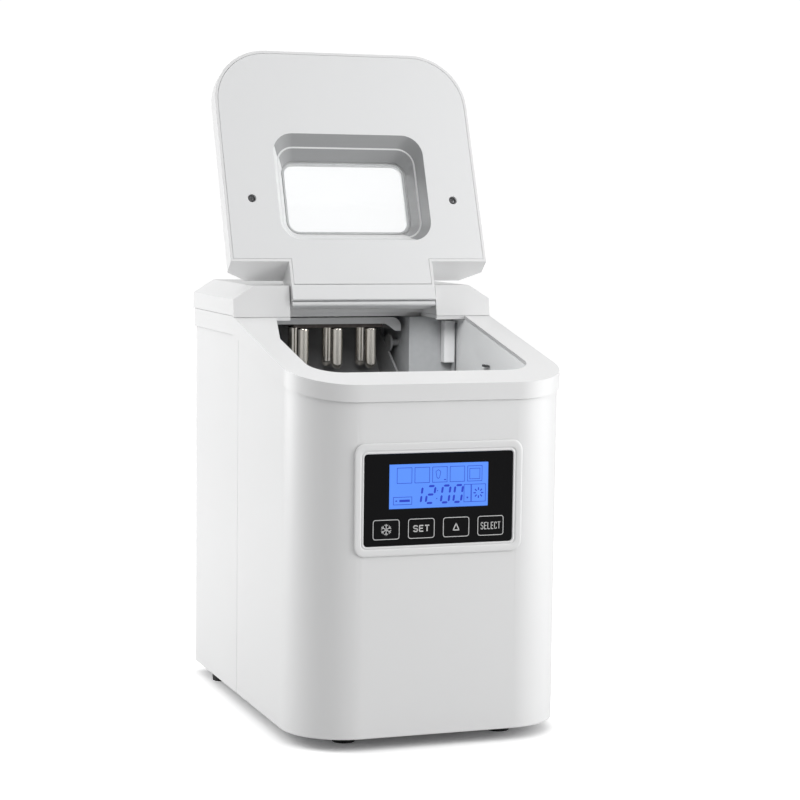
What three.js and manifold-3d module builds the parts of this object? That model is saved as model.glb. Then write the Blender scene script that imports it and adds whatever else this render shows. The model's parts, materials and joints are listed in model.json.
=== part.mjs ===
// A countertop ice maker with its lid open. Millimetres, +Z up, front at -Y.
// X = 0 is the middle of the width, Y = 0 the middle of the depth, Z = 0 the surface that it stands on.
import * as THREE from 'three';
import { mergeVertices } from 'three/addons/utils/BufferGeometryUtils.js';
import Module from 'manifold-3d';

const wasm = await Module();
wasm.setup();

// ---------------------------------------------------------------- driving dimensions
const FOOT_HEIGHT = 10;
const RIM_HALF_WIDTH = 119;
const RIM_HALF_DEPTH = 168;
const OVERHANG = 1.5;                    // the rim stands past the side walls by this much
const CORNER = 52;                       // plan radius of the two front corners
const REAR_CORNER = 6;
const WALL = 2.5;
const GAP = 0.3;                         // between pieces that touch
const SIDE_SEAM_Y = 20;                  // where the front wrap meets the rear shell

const BODY_HALF_WIDTH = RIM_HALF_WIDTH - OVERHANG;
const BODY_HALF_DEPTH = RIM_HALF_DEPTH - OVERHANG;
const BODY_BOTTOM = FOOT_HEIGHT;

const SLOPE = THREE.MathUtils.degToRad(12.06);   // the fall of the rim and lid towards the front
const DECK_TOP = BODY_BOTTOM + 328.5;            // level top of the rear half of the rim
const SLOPE_AT_MIDDLE = BODY_BOTTOM + 321.3;     // height of the sloping rim top at Y = 0
const CREST_Y = (DECK_TOP - SLOPE_AT_MIDDLE) / Math.tan(SLOPE);
const SKIRT_REAR = 16;
const SKIRT_FRONT = 13.8;
const RIM_THICKNESS = 3;

const OPENING = { left: -97, right: 95, front: -134.4, rear: 29, corner: 27, narrowAt: -37, narrowTo: -81 };
const NOTCH = { halfWidth: 68, rear: 66 };       // the gap in the rear cover that the lid's tab fills

const COVER = { top: BODY_BOTTOM + 354.8, side: 14.6, chamferIn: 18.6, front: 29, frontTop: 33.3 };

const HINGE = { y: 46, z: BODY_BOTTOM + 349 };
const LID = {
  openAngle: THREE.MathUtils.degToRad(123.4),
  inner: -16,                            // inner face below the hinge axis, lid closed
  outer: 9,                              // outer face above the hinge axis, lid closed
  sideTop: -1.7,
  heel: 22.5,                            // shoulder edge, measured from the hinge towards the front
  heelTop: 12.9,
  length: 222,
  corner: 50,
  chamferIn: 18.6,
  wall: 2.4,
  tabHalfWidth: 66.5,
};
const WINDOW = {
  mouthHalfWidth: 70.5, mouthNear: 42.5, mouthFar: 143, mouthCorner: 19,
  paneHalfWidth: 58.7, paneNear: 55, paneFar: 124, paneCorner: 12,
  ledge: 1.6,                            // width of the step halfway down the recess
  depth: 20,
};

const PANEL_X = -2.2;                    // middle of the control panel
const PANEL = { halfWidth: 71.8, bottom: 157.6, top: 248.8, corner: 9 };
const GLASS = { halfWidth: 63.9, bottom: 165.8, top: 240.1, corner: 3 };
const SCREEN = { halfWidth: 42.5, bottom: 195.4, top: 231.3 };
const KEY = { width: 23.3, height: 16.8, z: 179.2, corner: 2.6, spacing: 29.87 };

const LINER = { left: -99.5, right: 97.5, front: -137, rear: 62, floor: 62, corner: 29, wall: 2.5 };
const BAY = { left: -80, right: 56, rear: 132, floor: 240 };
const FINGER = { radius: 5.25, tip: 288, top: 325, xs: [-42, -10, 22], ys: [76, 104.5] };
const TRAY = { y: 90.25, z: 310, inner: 36, outer: 38, left: -67, right: 46, tipped: 35, halfSpan: 80 };
const BASKET = { left: -78, right: 84, front: -128, rear: 20, floor: 118, top: 215, wall: 2, corner: 20 };

const FAN = { x: 72, y: 111, z: 92, radius: 40 };
const COMPRESSOR = { x: -45, y: 110, radius: 44, bottom: 24, top: 132 };
const DRAIN = { y: -40, z: 48 };
const INLET = { x0: 83.5, x1: 94, y: 54, z: 316, bottom: 294, top: 332 };
const STUB = { dx: 27, dy: 14 };         // the suction stub, from the compressor's middle
const DRIER = { x: 24, y: 150 };
const GLAND = { x: -78, z: 44 };
const PIPES = { suctionX: -48, capillaryX: -10, z: 330.4 };

// ---------------------------------------------------------------- finishes
const finish = (color, roughness, metalness = 0, opacity = 1) => new THREE.MeshStandardMaterial({
  color, roughness, metalness, opacity, transparent: opacity < 1,
});
const WHITE = finish(0xe9eaeb, 0.34);
const PALE = finish(0xd5d7d9, 0.45);
const GREY = finish(0x6f7275, 0.5);
const DARK = finish(0x2b2d30, 0.5);
const BLACK_GLASS = finish(0x0b0c0e, 0.08);
const CLEAR = finish(0xcdd3d6, 0.06, 0, 0.35);
const BLUE_SCREEN = finish(0x5f97ff, 0.2);
const RUBBER = finish(0x17181a, 0.8);
const CHROME = finish(0xd9d6cf, 0.12, 1);
const STEEL = finish(0xa9adb0, 0.35, 1);
const COPPER = finish(0xb46a42, 0.3, 1);
const ALUMINIUM = finish(0xc4c8cb, 0.4, 1);
const ENAMEL = finish(0x141516, 0.3);
const BOARD = finish(0x1f5a35, 0.5);

// ---------------------------------------------------------------- solids
/** A closed three.js geometry as a manifold solid. */
function solid(geometry) {
  const bare = geometry.clone();
  bare.deleteAttribute('normal');
  bare.deleteAttribute('uv');
  const merged = mergeVertices(bare, 1e-4);
  return new wasm.Manifold(new wasm.Mesh({
    numProp: 3,
    vertProperties: new Float32Array(merged.attributes.position.array),
    triVerts: new Uint32Array(merged.index.array),
  }));
}

/** A manifold solid as a three.js geometry. */
function geometryOf(body) {
  const mesh = body.getMesh();
  const geometry = new THREE.BufferGeometry();
  geometry.setAttribute('position', new THREE.BufferAttribute(new Float32Array(mesh.vertProperties), 3));
  geometry.setIndex(new THREE.BufferAttribute(new Uint32Array(mesh.triVerts), 1));
  geometry.computeVertexNormals();
  return geometry;
}

/** A shape in the XY plane, raised from z0 to z1. */
function raised(shape, z0, z1, curveSegments = 4) {
  const geometry = new THREE.ExtrudeGeometry(shape, { depth: z1 - z0, bevelEnabled: false, curveSegments });
  return solid(geometry).translate([0, 0, z0]);
}

/** An outline of [y, z] points, or a shape with X as y and Y as z, run along X from x0 to x1. */
function alongX(outline, x0, x1, curveSegments = 4) {
  const shape = Array.isArray(outline) ? polygon(outline) : outline;
  const geometry = new THREE.ExtrudeGeometry(shape, { depth: x1 - x0, bevelEnabled: false, curveSegments });
  const turn = new THREE.Matrix4().makeBasis(
    new THREE.Vector3(0, 1, 0), new THREE.Vector3(0, 0, 1), new THREE.Vector3(1, 0, 0));
  geometry.applyMatrix4(turn);
  return solid(geometry).translate([x0, 0, 0]);
}

/** A shape with X as x and Y as z, run along Y from y0 to y1. */
function alongY(shape, y0, y1, curveSegments = 3) {
  const geometry = new THREE.ExtrudeGeometry(shape, { depth: y1 - y0, bevelEnabled: false, curveSegments });
  geometry.rotateX(Math.PI / 2);
  return solid(geometry).translate([0, y1, 0]);
}

function polygon(points) {
  return new THREE.Shape(points.map(([a, b]) => new THREE.Vector2(a, b)));
}

function box(x0, x1, y0, y1, z0, z1) {
  const geometry = new THREE.BoxGeometry(x1 - x0, y1 - y0, z1 - z0);
  return solid(geometry).translate([(x0 + x1) / 2, (y0 + y1) / 2, (z0 + z1) / 2]);
}

/** A rectangle with four round corners, from (x0, y0) to (x1, y1). */
function roundedRect(x0, x1, y0, y1, r) {
  return roundedCorners(x0, x1, y0, y1, r, r);
}

/** A rectangle whose two low-Y corners have radius front and whose two high-Y corners have radius rear. */
function roundedCorners(x0, x1, y0, y1, front, rear) {
  const shape = new THREE.Shape();
  shape.absarc(x0 + front, y0 + front, front, Math.PI, 1.5 * Math.PI);
  shape.absarc(x1 - front, y0 + front, front, 1.5 * Math.PI, 2 * Math.PI);
  shape.absarc(x1 - rear, y1 - rear, rear, 0, 0.5 * Math.PI);
  shape.absarc(x0 + rear, y1 - rear, rear, 0.5 * Math.PI, Math.PI);
  return shape;
}

/** A cylinder of radius r centred on (x, y), from z0 to z1; top is its radius at z1. */
function post(x, y, z0, z1, r, sides = 24, top = r) {
  const geometry = new THREE.CylinderGeometry(top, r, z1 - z0, sides);
  geometry.rotateX(Math.PI / 2);
  return solid(geometry).translate([x, y, (z0 + z1) / 2]);
}

/** A cylinder along X. */
function rodX(x0, x1, y, z, r, sides = 24) {
  const geometry = new THREE.CylinderGeometry(r, r, x1 - x0, sides);
  geometry.rotateZ(Math.PI / 2);
  return solid(geometry).translate([(x0 + x1) / 2, y, z]);
}

/** A cylinder along Y. */
function rodY(y0, y1, x, z, r, sides = 24) {
  return solid(new THREE.CylinderGeometry(r, r, y1 - y0, sides)).translate([x, (y0 + y1) / 2, z]);
}

/** A profile of [radius, height] points turned round a vertical axis at (x, y). */
function turned(profile, x, y, sides = 28) {
  const geometry = new THREE.LatheGeometry(profile.map(([r, z]) => new THREE.Vector2(r, z)), sides);
  geometry.rotateX(Math.PI / 2);
  return solid(geometry).translate([x, y, 0]);
}

/** A round tube of radius r through a list of [x, y, z] points. */
function tube(points, r, steps = 20) {
  const path = new THREE.CatmullRomCurve3(points.map((p) => new THREE.Vector3(...p)), false, 'centripetal');
  const section = new THREE.Shape();
  section.absarc(0, 0, r, 0, 2 * Math.PI);
  const settings = { steps, extrudePath: path, bevelEnabled: false, curveSegments: 4 };
  return new THREE.ExtrudeGeometry(section, settings);
}

function joined(...bodies) {
  return bodies.reduce((all, body) => all.add(body));
}

// ---------------------------------------------------------------- shared outlines
const topAt = (y) => Math.min(DECK_TOP, SLOPE_AT_MIDDLE + y * Math.tan(SLOPE));

/** The casing's plan, drawn in from the side walls by inset. */
function bodyPlan(inset) {
  const half = BODY_HALF_WIDTH - inset;
  const end = BODY_HALF_DEPTH - inset;
  return roundedCorners(-half, half, -end, end, CORNER - inset, Math.max(REAR_CORNER - inset, 1));
}

/** The rim's side view, sloping in front and level behind, from drop to skirt below its top. */
function rimSide(drop, frontSkirt, rearSkirt) {
  const front = -RIM_HALF_DEPTH;
  const rear = RIM_HALF_DEPTH;
  return [
    [front, topAt(front) - frontSkirt], [CREST_Y, DECK_TOP - rearSkirt], [rear, DECK_TOP - rearSkirt],
    [rear, DECK_TOP - drop], [CREST_Y, DECK_TOP - drop], [front, topAt(front) - drop],
  ];
}

/** Everything below the rim's lower seam. */
function belowRim(gap) {
  const points = rimSide(0, SKIRT_FRONT + gap, SKIRT_REAR + gap).slice(0, 3);
  return alongX([[-RIM_HALF_DEPTH, 0], [RIM_HALF_DEPTH, 0], points[2], points[1], points[0]], -150, 150);
}

/** The plan of the opening that the ice is reached through. */
function openingPlan(inset) {
  const o = OPENING;
  const left = o.left + inset;
  const right = o.right - inset;
  const front = o.front + inset;
  const r = o.corner - inset;
  const shape = new THREE.Shape();
  shape.absarc(left + r, front + r, r, Math.PI, 1.5 * Math.PI);
  shape.absarc(right - r, front + r, r, 1.5 * Math.PI, 2 * Math.PI);
  shape.lineTo(right, o.rear);
  shape.lineTo(NOTCH.halfWidth - inset, o.rear);
  shape.lineTo(NOTCH.halfWidth - inset, NOTCH.rear + 4);
  shape.lineTo(-NOTCH.halfWidth + inset, NOTCH.rear + 4);
  shape.lineTo(-NOTCH.halfWidth + inset, o.rear);
  shape.lineTo(o.narrowTo + inset, o.rear);
  shape.lineTo(left, o.narrowAt);
  return shape;
}

// ---------------------------------------------------------------- the assembly
const iceMaker = new THREE.Group();
const lidGroup = new THREE.Group();
lidGroup.position.set(0, HINGE.y, HINGE.z);
lidGroup.rotation.x = SLOPE - LID.openAngle;
iceMaker.add(lidGroup);

function addPiece(name, body, material, parent = iceMaker) {
  const mesh = new THREE.Mesh(body.isBufferGeometry ? body : geometryOf(body), material);
  mesh.name = name;
  parent.add(mesh);
}

// ---------------------------------------------------------------- casing
function casingWalls() {
  return raised(bodyPlan(0), BODY_BOTTOM, DECK_TOP, 6)
    .subtract(raised(bodyPlan(WALL), BODY_BOTTOM - 1, DECK_TOP + 1, 6))
    .intersect(belowRim(GAP));
}

function frontWrap() {
  const grow = 2.6;
  const half = GLASS.halfWidth + grow;
  const front = -BODY_HALF_DEPTH;
  const panelHole = box(-half, half, front - 5, front + 5, GLASS.bottom - grow, GLASS.top + grow)
    .translate([PANEL_X, 0, 0]);
  const drainHole = rodX(BODY_HALF_WIDTH - 5, BODY_HALF_WIDTH + 5, DRAIN.y, DRAIN.z, 8);
  return casingWalls()
    .intersect(box(-150, 150, -200, SIDE_SEAM_Y - GAP / 2, 0, 400))
    .subtract(panelHole)
    .subtract(drainHole);
}

/** A block of level slots cut through a wall: count slots, height apart, inside the given box. */
function slots(count, pitch, height, x0, x1, y0, y1, z0) {
  const cuts = [];
  for (let i = 0; i < count; i += 1) {
    cuts.push(box(x0, x1, y0, y1, z0 + i * pitch, z0 + i * pitch + height));
  }
  return joined(...cuts);
}

function rearShell() {
  const glandHole = rodY(BODY_HALF_DEPTH - 5, BODY_HALF_DEPTH + 5, GLAND.x, GLAND.z, 8.3);
  return casingWalls()
    .intersect(box(-150, 150, SIDE_SEAM_Y + GAP / 2, 200, 0, 400))
    .subtract(slots(12, 10, 3.6, 110, 125, 74, 148, 36))
    .subtract(slots(10, 10, 3.6, -30, 60, 160, 175, 46))
    .subtract(glandHole);
}

function basePan() {
  return raised(bodyPlan(WALL + GAP), BODY_BOTTOM + 3, BODY_BOTTOM + 5.5, 4);
}

function topRim() {
  const plan = (inset) => {
    const half = RIM_HALF_WIDTH - inset;
    const end = RIM_HALF_DEPTH - inset;
    return roundedCorners(-half, half, -end, end, CORNER - inset, Math.max(REAR_CORNER - inset, 1));
  };
  const form = alongX(rimSide(0, SKIRT_FRONT, SKIRT_REAR), -130, 130);
  const hollow = alongX(rimSide(RIM_THICKNESS, 60, 60), -130, 130);
  const outside = form.intersect(raised(plan(0), 200, 400, 6));
  const inside = hollow.intersect(raised(plan(WALL), 200, 400, 6));
  return outside.subtract(inside).subtract(raised(openingPlan(0), 200, 400, 5));
}

/** The shoulder block behind the lid, its front face leaning back. */
function shoulder(inset, below) {
  const top = COVER.top - inset;
  const half = RIM_HALF_WIDTH - inset;
  const sideTop = DECK_TOP + COVER.side - inset * 0.4;
  const flat = half - COVER.chamferIn;
  const section = polygon([
    [-half, below], [half, below], [half, sideTop], [flat, top], [-flat, top], [-half, sideTop],
  ]);
  const block = alongY(section, 0, RIM_HALF_DEPTH - inset);
  const lean = (COVER.frontTop - COVER.front) / (COVER.top - DECK_TOP);
  const face = (z) => COVER.front + inset + (z - DECK_TOP) * lean;
  const reach = alongX([[face(below), below], [200, below], [200, 400], [face(400), 400]], -130, 130);
  return block.intersect(reach);
}

function rearCover() {
  const base = DECK_TOP + GAP;
  const notch = (grow) => {
    const half = NOTCH.halfWidth + grow;
    return box(-half, half, -10, NOTCH.rear + grow, 200, 500);
  };
  const side = [[0, topAt(0) + GAP], [CREST_Y, base], [200, base], [200, 400], [0, 400]];
  const aboveRim = alongX(side, -130, 130);
  const outside = shoulder(0, 320).subtract(notch(0)).intersect(aboveRim);
  const inside = shoulder(WALL, 318).subtract(notch(WALL));
  const pinHoles = rodX(-90, 90, HINGE.y, HINGE.z, 3.3);
  return outside.subtract(inside).subtract(pinHoles);
}

function foot(x, y) {
  const lower = post(x, y, 0, BODY_BOTTOM, 9.4, 24, 10);
  return lower.add(post(x, y, BODY_BOTTOM - 0.5, BODY_BOTTOM + 3 - GAP, 7));
}

addPiece('base_pan', basePan(), STEEL);
addPiece('front_wrap', frontWrap(), WHITE);
addPiece('rear_shell', rearShell(), WHITE);
addPiece('top_rim', topRim(), WHITE);
addPiece('rear_cover', rearCover(), WHITE);
const FEET = {
  foot_front_left: [-68, -128],
  foot_front_right: [68, -128],
  foot_rear_left: [-102.5, 119],
  foot_rear_right: [102.5, 119],
};
Object.entries(FEET).forEach(([name, [x, y]]) => addPiece(name, foot(x, y), RUBBER));

// ---------------------------------------------------------------- lid
// Built closed round the hinge axis: Y runs along the slope and Z out of it.
function lidPlan(inset, near) {
  const half = RIM_HALF_WIDTH - inset;
  return roundedCorners(-half, half, -LID.length + inset, -near, LID.corner - inset * 0.8, 0.5);
}

/** The lid's domed outer form, drawn in by inset. */
function lidForm(inset) {
  const low = LID.inner - (inset > 0 ? 1 : 0);
  const side = raised(lidPlan(inset, 0), low, LID.sideTop - inset * 0.4, 6);
  const top = raised(lidPlan(inset + LID.chamferIn, 0), LID.outer - inset - 0.1, LID.outer - inset, 6);
  return wasm.Manifold.hull([side, top]);
}

/** What is in front of the lid's heel face, which leans back to match the shoulder block. */
function beforeHeel(inset) {
  const lean = (LID.heel - LID.heelTop) / (LID.outer - LID.inner);
  const edge = (z) => -(LID.heel - (z - LID.inner) * lean) - inset;
  return alongX([[-300, -40], [edge(-40), -40], [edge(40), 40], [-300, 40]], -150, 150);
}

/** The tab that runs back from the heel between the shoulder blocks and wraps round the hinge. */
function lidTab(inset) {
  const half = LID.tabHalfWidth - inset;
  const barrel = rodX(-half, half, 0, 0, -LID.inner - inset, 32);
  const run = box(-half, half, -LID.heel - 4, 0, LID.inner + inset, LID.outer - inset);
  const level = alongX([[-30, -60], [30, -60], [30, 5.6 - inset], [-30, 5.6 - inset]], -100, 100)
    .rotate([-THREE.MathUtils.radToDeg(SLOPE), 0, 0]);
  const forward = box(-100, 100, -60, -LID.heelTop, -40, 40);
  return barrel.add(run).intersect(level.add(forward));
}

function mouthPlan(grow) {
  const w = WINDOW;
  const half = w.mouthHalfWidth + grow;
  return roundedRect(-half, half, -w.mouthFar - grow, -w.mouthNear + grow, w.mouthCorner + grow);
}

function panePlan(grow) {
  const w = WINDOW;
  const half = w.paneHalfWidth + grow;
  return roundedRect(-half, half, -w.paneFar - grow, -w.paneNear + grow, w.paneCorner + grow);
}

/** The recess's plan at a share of its depth: 0 is the mouth and 1 the pane. */
function recessPlan(share, grow) {
  const w = WINDOW;
  const between = (a, b) => a + (b - a) * share;
  const half = between(w.mouthHalfWidth, w.paneHalfWidth) + grow;
  const far = between(w.mouthFar, w.paneFar) + grow;
  const near = between(w.mouthNear, w.paneNear) - grow;
  return roundedRect(-half, half, -far, -near, between(w.mouthCorner, w.paneCorner) + grow);
}

/** The stepped recess from the lid's inner face up to the pane, with a ledge halfway. */
function windowFunnel(grow, low) {
  const thin = 0.1;
  const middle = LID.inner + WINDOW.depth / 2;
  const paneZ = LID.inner + WINDOW.depth;
  const outer = wasm.Manifold.hull([
    raised(mouthPlan(grow), low, LID.inner + thin),
    raised(recessPlan(0.5, grow + WINDOW.ledge / 2), middle - thin, middle),
  ]);
  const inner = wasm.Manifold.hull([
    raised(recessPlan(0.5, grow - WINDOW.ledge / 2), middle - thin, middle),
    raised(panePlan(grow), paneZ - 2 * thin, paneZ - thin),
  ]);
  return outer.add(inner);
}

const SCREWS = { lid_screw_left: -94.2, lid_screw_right: 94.2 };
const SCREW_Y = -81;
const TONGUE = { hollowEnd: -11, end: -1.6, groove: 0.6 };   // the inner panel's strip on the tab

function lidShell() {
  const outside = lidForm(0).intersect(beforeHeel(0)).add(lidTab(0));
  const hollow = lidForm(LID.wall).intersect(beforeHeel(LID.wall));
  const tabHalf = LID.tabHalfWidth - LID.wall;
  const tabHollow = box(-tabHalf, tabHalf, -LID.heel - 4, TONGUE.hollowEnd, LID.inner - 1, LID.outer - 6)
    .add(box(-tabHalf, tabHalf, TONGUE.hollowEnd - 1, TONGUE.end + TONGUE.groove,
      LID.inner - 1, LID.inner + 2 + GAP));
  const light = raised(panePlan(-3), 0, 20);
  const boreEnd = LID.tabHalfWidth - 10;
  const bores = rodX(-80, -boreEnd, 0, 0, 3.25).add(rodX(boreEnd, 80, 0, 0, 3.25));
  return outside.subtract(hollow.add(tabHollow)).subtract(light).subtract(bores);
}

function lidInnerPanel() {
  const edge = LID.wall + GAP;
  const plate = raised(lidPlan(edge, 0), LID.inner, LID.inner + 2, 6).intersect(beforeHeel(edge));
  const tongueHalf = LID.tabHalfWidth - edge;
  const tongue = box(-tongueHalf, tongueHalf, -LID.heel - 6, TONGUE.end, LID.inner, LID.inner + 2);
  const paneTop = LID.inner + WINDOW.depth;
  let panel = plate.add(tongue).add(windowFunnel(2, LID.inner)).subtract(windowFunnel(0, LID.inner - 1))
    .subtract(raised(panePlan(0), paneTop - 1, paneTop + 1));
  Object.values(SCREWS).forEach((x) => {
    panel = panel.add(post(x, SCREW_Y, LID.inner, LID.inner + 7, 5.6));
    panel = panel.subtract(post(x, SCREW_Y, LID.inner - 1, LID.inner + 4, 3.8));
    panel = panel.subtract(post(x, SCREW_Y, LID.inner, LID.inner + 8, 1.9));
  });
  return panel;
}

function lidScrew(x) {
  const base = LID.inner + 4;
  const head = post(x, SCREW_Y, base - 2.2, base - GAP, 3.2, 18);
  return head.add(post(x, SCREW_Y, base - 0.5, base + 9, 1.5, 12));
}

addPiece('lid_shell', lidShell(), WHITE, lidGroup);
addPiece('lid_inner_panel', lidInnerPanel(), WHITE, lidGroup);
const pane = raised(panePlan(-0.6), LID.inner + WINDOW.depth + GAP, LID.outer - LID.wall - GAP);
addPiece('lid_window', pane, CLEAR, lidGroup);
Object.entries(SCREWS).forEach(([name, x]) => addPiece(name, lidScrew(x), STEEL, lidGroup));
addPiece('hinge_pin_left', rodX(-86, -LID.tabHalfWidth + 8, HINGE.y, HINGE.z, 3), STEEL);
addPiece('hinge_pin_right', rodX(LID.tabHalfWidth - 8, 86, HINGE.y, HINGE.z, 3), STEEL);

// ---------------------------------------------------------------- control panel
const FACE_Y = -BODY_HALF_DEPTH;
const PROUD_Y = FACE_Y - 1.5;
const KEY_XS = [-1.5, -0.5, 0.5, 1.5].map((step) => PANEL_X + step * KEY.spacing);

function upright(half, bottom, top, corner, y0, y1) {
  return alongY(roundedRect(PANEL_X - half, PANEL_X + half, bottom, top, corner), y0, y1);
}

function keyBlock(x, grow, y0, y1) {
  const w = KEY.width / 2 + grow;
  const h = KEY.height / 2 + grow;
  return alongY(roundedRect(x - w, x + w, KEY.z - h, KEY.z + h, KEY.corner + grow), y0, y1, 2);
}

function panelBezel() {
  const face = upright(PANEL.halfWidth, PANEL.bottom, PANEL.top, PANEL.corner, PROUD_Y, FACE_Y - GAP);
  const rim = 2.2;
  const spigot = upright(GLASS.halfWidth + rim, GLASS.bottom - rim, GLASS.top + rim, 4, FACE_Y - 0.5, FACE_Y + 5);
  const hole = upright(GLASS.halfWidth, GLASS.bottom, GLASS.top, GLASS.corner, PROUD_Y - 1, FACE_Y + 6);
  return face.add(spigot).subtract(hole);
}

function panelGlass() {
  const pane = upright(GLASS.halfWidth - GAP, GLASS.bottom + GAP, GLASS.top - GAP, GLASS.corner,
    PROUD_Y + 0.8, PROUD_Y + 3);
  const s = SCREEN;
  const view = box(PANEL_X - s.halfWidth, PANEL_X + s.halfWidth, PROUD_Y - 1, PROUD_Y + 5, s.bottom, s.top);
  const keyHoles = joined(...KEY_XS.map((x) => keyBlock(x, GAP, PROUD_Y - 1, PROUD_Y + 5)));
  return pane.subtract(view).subtract(keyHoles);
}

function lcdModule() {
  const s = SCREEN;
  const half = s.halfWidth;
  const front = box(-half + GAP, half - GAP, PROUD_Y + 1, PROUD_Y + 5, s.bottom + GAP, s.top - GAP);
  const back = box(-half - 3, half + 3, PROUD_Y + 3.3, PROUD_Y + 7.5, s.bottom - 3, s.top + 3);
  return front.add(back).translate([PANEL_X, 0, 0]);
}

function controlBoard() {
  const board = box(-62, 62, FACE_Y + 9, FACE_Y + 10.6, 164, 244);
  const chip = box(-20, 20, FACE_Y + 10, FACE_Y + 14, 205, 225);
  const relay = box(28, 52, FACE_Y + 10, FACE_Y + 22, 200, 220);
  const plug = box(-52, -30, FACE_Y + 10, FACE_Y + 18, 176, 188);
  return joined(board, chip, relay, plug);
}

addPiece('panel_bezel', panelBezel(), WHITE);
addPiece('panel_glass', panelGlass(), BLACK_GLASS);
addPiece('lcd_module', lcdModule(), BLUE_SCREEN);
['key_cool', 'key_set', 'key_mode', 'key_choose'].forEach((name, i) => {
  addPiece(name, keyBlock(KEY_XS[i], 0, PROUD_Y + 0.6, PROUD_Y + 3.6), BLACK_GLASS);
});
addPiece('control_board', controlBoard(), BOARD);

// ---------------------------------------------------------------- inner liner and water side
function liner() {
  const l = LINER;
  const plan = (i) => roundedCorners(l.left + i, l.right - i, l.front + i, l.rear - i, l.corner - i, 4 - i);
  const tub = (i) => raised(plan(i), l.floor + i, 400, 4);
  const bay = (i) => box(BAY.left + i, BAY.right - i, l.rear - 20, BAY.rear - i, BAY.floor + i, 400);
  const under = alongX(rimSide(RIM_THICKNESS + GAP, 300, 300), -130, 130);
  const ledges = box(l.left + 1, l.left + 24, l.front + 40, l.rear - 50, BASKET.floor - 6, BASKET.floor - GAP)
    .add(box(l.right - 16, l.right - 1, l.front + 40, l.rear - 50, BASKET.floor - 6, BASKET.floor - GAP));
  const rodHole = rodY(l.rear, BAY.rear + 5, -10, 256, 3.4);
  const pipeHoles = rodY(BAY.rear - 5, BAY.rear + 5, PIPES.suctionX, PIPES.z, 3.4, 12)
    .add(rodY(BAY.rear - 5, BAY.rear + 5, PIPES.capillaryX, PIPES.z, 2, 12));
  const inletHole = rodX(l.right - 5, l.right + 5, INLET.y, INLET.z, 3);
  const shaftHoles = rodX(BAY.left - 5, BAY.right + 5, TRAY.y, TRAY.z, 3.4);
  const drainHole = post(l.right - 22, DRAIN.y, l.floor - 5, l.floor + 5, 4);
  const wellHole = post(60, 20, l.floor - 5, l.floor + 5, 4);
  return tub(0).add(bay(0)).intersect(under)
    .subtract(tub(l.wall).add(bay(l.wall)))
    .add(ledges)
    .subtract(joined(rodHole, pipeHoles, inletHole, shaftHoles, drainHole, wellHole));
}

/** The hood over the ice fingers, with a round right-hand end. */
function evaporatorCover() {
  const y0 = NOTCH.rear + 3.5;
  const top = DECK_TOP - RIM_THICKNESS - 1;
  const shape = new THREE.Shape();
  shape.moveTo(BAY.left + 4, 328.6);
  shape.lineTo(34, 328.6);
  shape.lineTo(44, 322);
  shape.lineTo(49, 322);
  shape.lineTo(49, top - 9);
  shape.absarc(40, top - 9, 9, 0, Math.PI / 2);
  shape.lineTo(BAY.left + 4, top);
  const hood = alongY(shape, y0, y0 + 48, 4);
  return hood.subtract(box(BAY.left + 6, 47, y0 + 2, y0 + 60, 310, top - 1.2));
}

function evaporator() {
  const [y0, y1] = FINGER.ys;
  const base = FINGER.top + GAP;
  const loop = joined(
    box(FINGER.xs[0] - 10, FINGER.xs[2] + 10, y0 - 4, y0 + 4, base, base + 5),
    box(FINGER.xs[0] - 10, FINGER.xs[2] + 10, y1 - 4, y1 + 4, base, base + 5),
    box(FINGER.xs[2] + 2, FINGER.xs[2] + 10, y0, y1, base, base + 5),
  );
  return loop.add(box(PIPES.suctionX - 4, PIPES.suctionX + 4, y1, y1 + 9, base + 1, base + 7.6));
}

function finger(x, y) {
  const r = FINGER.radius;
  const { tip, top } = FINGER;
  const profile = [[0, tip], [r * 0.5, tip + 0.7], [r * 0.87, tip + 2.6], [r, tip + 5.2], [r, top], [0, top]];
  return turned(profile, x, y, 20);
}

const degrees = THREE.MathUtils.degToRad;

/** A ring segment in the YZ plane round the tray's axis, from one angle to another. */
function traySector(inner, outer, from, to) {
  const shape = new THREE.Shape();
  shape.absarc(TRAY.y, TRAY.z, outer, degrees(from), degrees(to), false);
  if (inner > 0) {
    shape.absarc(TRAY.y, TRAY.z, inner, degrees(to), degrees(from), true);
  }
  return shape;
}

function waterTray() {
  const middle = TRAY.tipped - 90;
  const from = middle - TRAY.halfSpan;
  const to = middle + TRAY.halfSpan;
  const trough = alongX(traySector(TRAY.inner, TRAY.outer, from, to), TRAY.left, TRAY.right, 9);
  const end = (x0, x1) => alongX(traySector(0, TRAY.outer, from, to), x0, x1, 9)
    .add(rodX(x0, x1, TRAY.y, TRAY.z, 8));
  return joined(trough, end(TRAY.left, TRAY.left + 2), end(TRAY.right - 2, TRAY.right),
    rodX(BAY.left - 8, TRAY.left + 1, TRAY.y, TRAY.z, 3.1),
    rodX(TRAY.right - 1, BAY.right + 12, TRAY.y, TRAY.z, 3.1));
}

function trayMotor() {
  const x0 = BAY.right + 2;
  const block = box(x0 + 2, x0 + 30, TRAY.y - 22, TRAY.y + 20, TRAY.z - 26, TRAY.z + 16);
  const nose = rodX(x0, x0 + 4, TRAY.y, TRAY.z, 11);
  return block.add(nose).subtract(rodX(x0 - 1, x0 + 13, TRAY.y, TRAY.z, 3.4));
}

function icePusher() {
  const blade = box(BAY.left + 10, BAY.right - 10, 119, 122, BAY.floor + 4, BAY.floor + 28);
  return blade.add(rodY(121, 161, -10, 256, 3.1));
}

function pusherMotor() {
  return box(-2, 30, BAY.rear + 2, BAY.rear + 22, 244, 276).add(rodX(-6, 0, BAY.rear + 12, 262.5, 2.6, 12));
}

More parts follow.
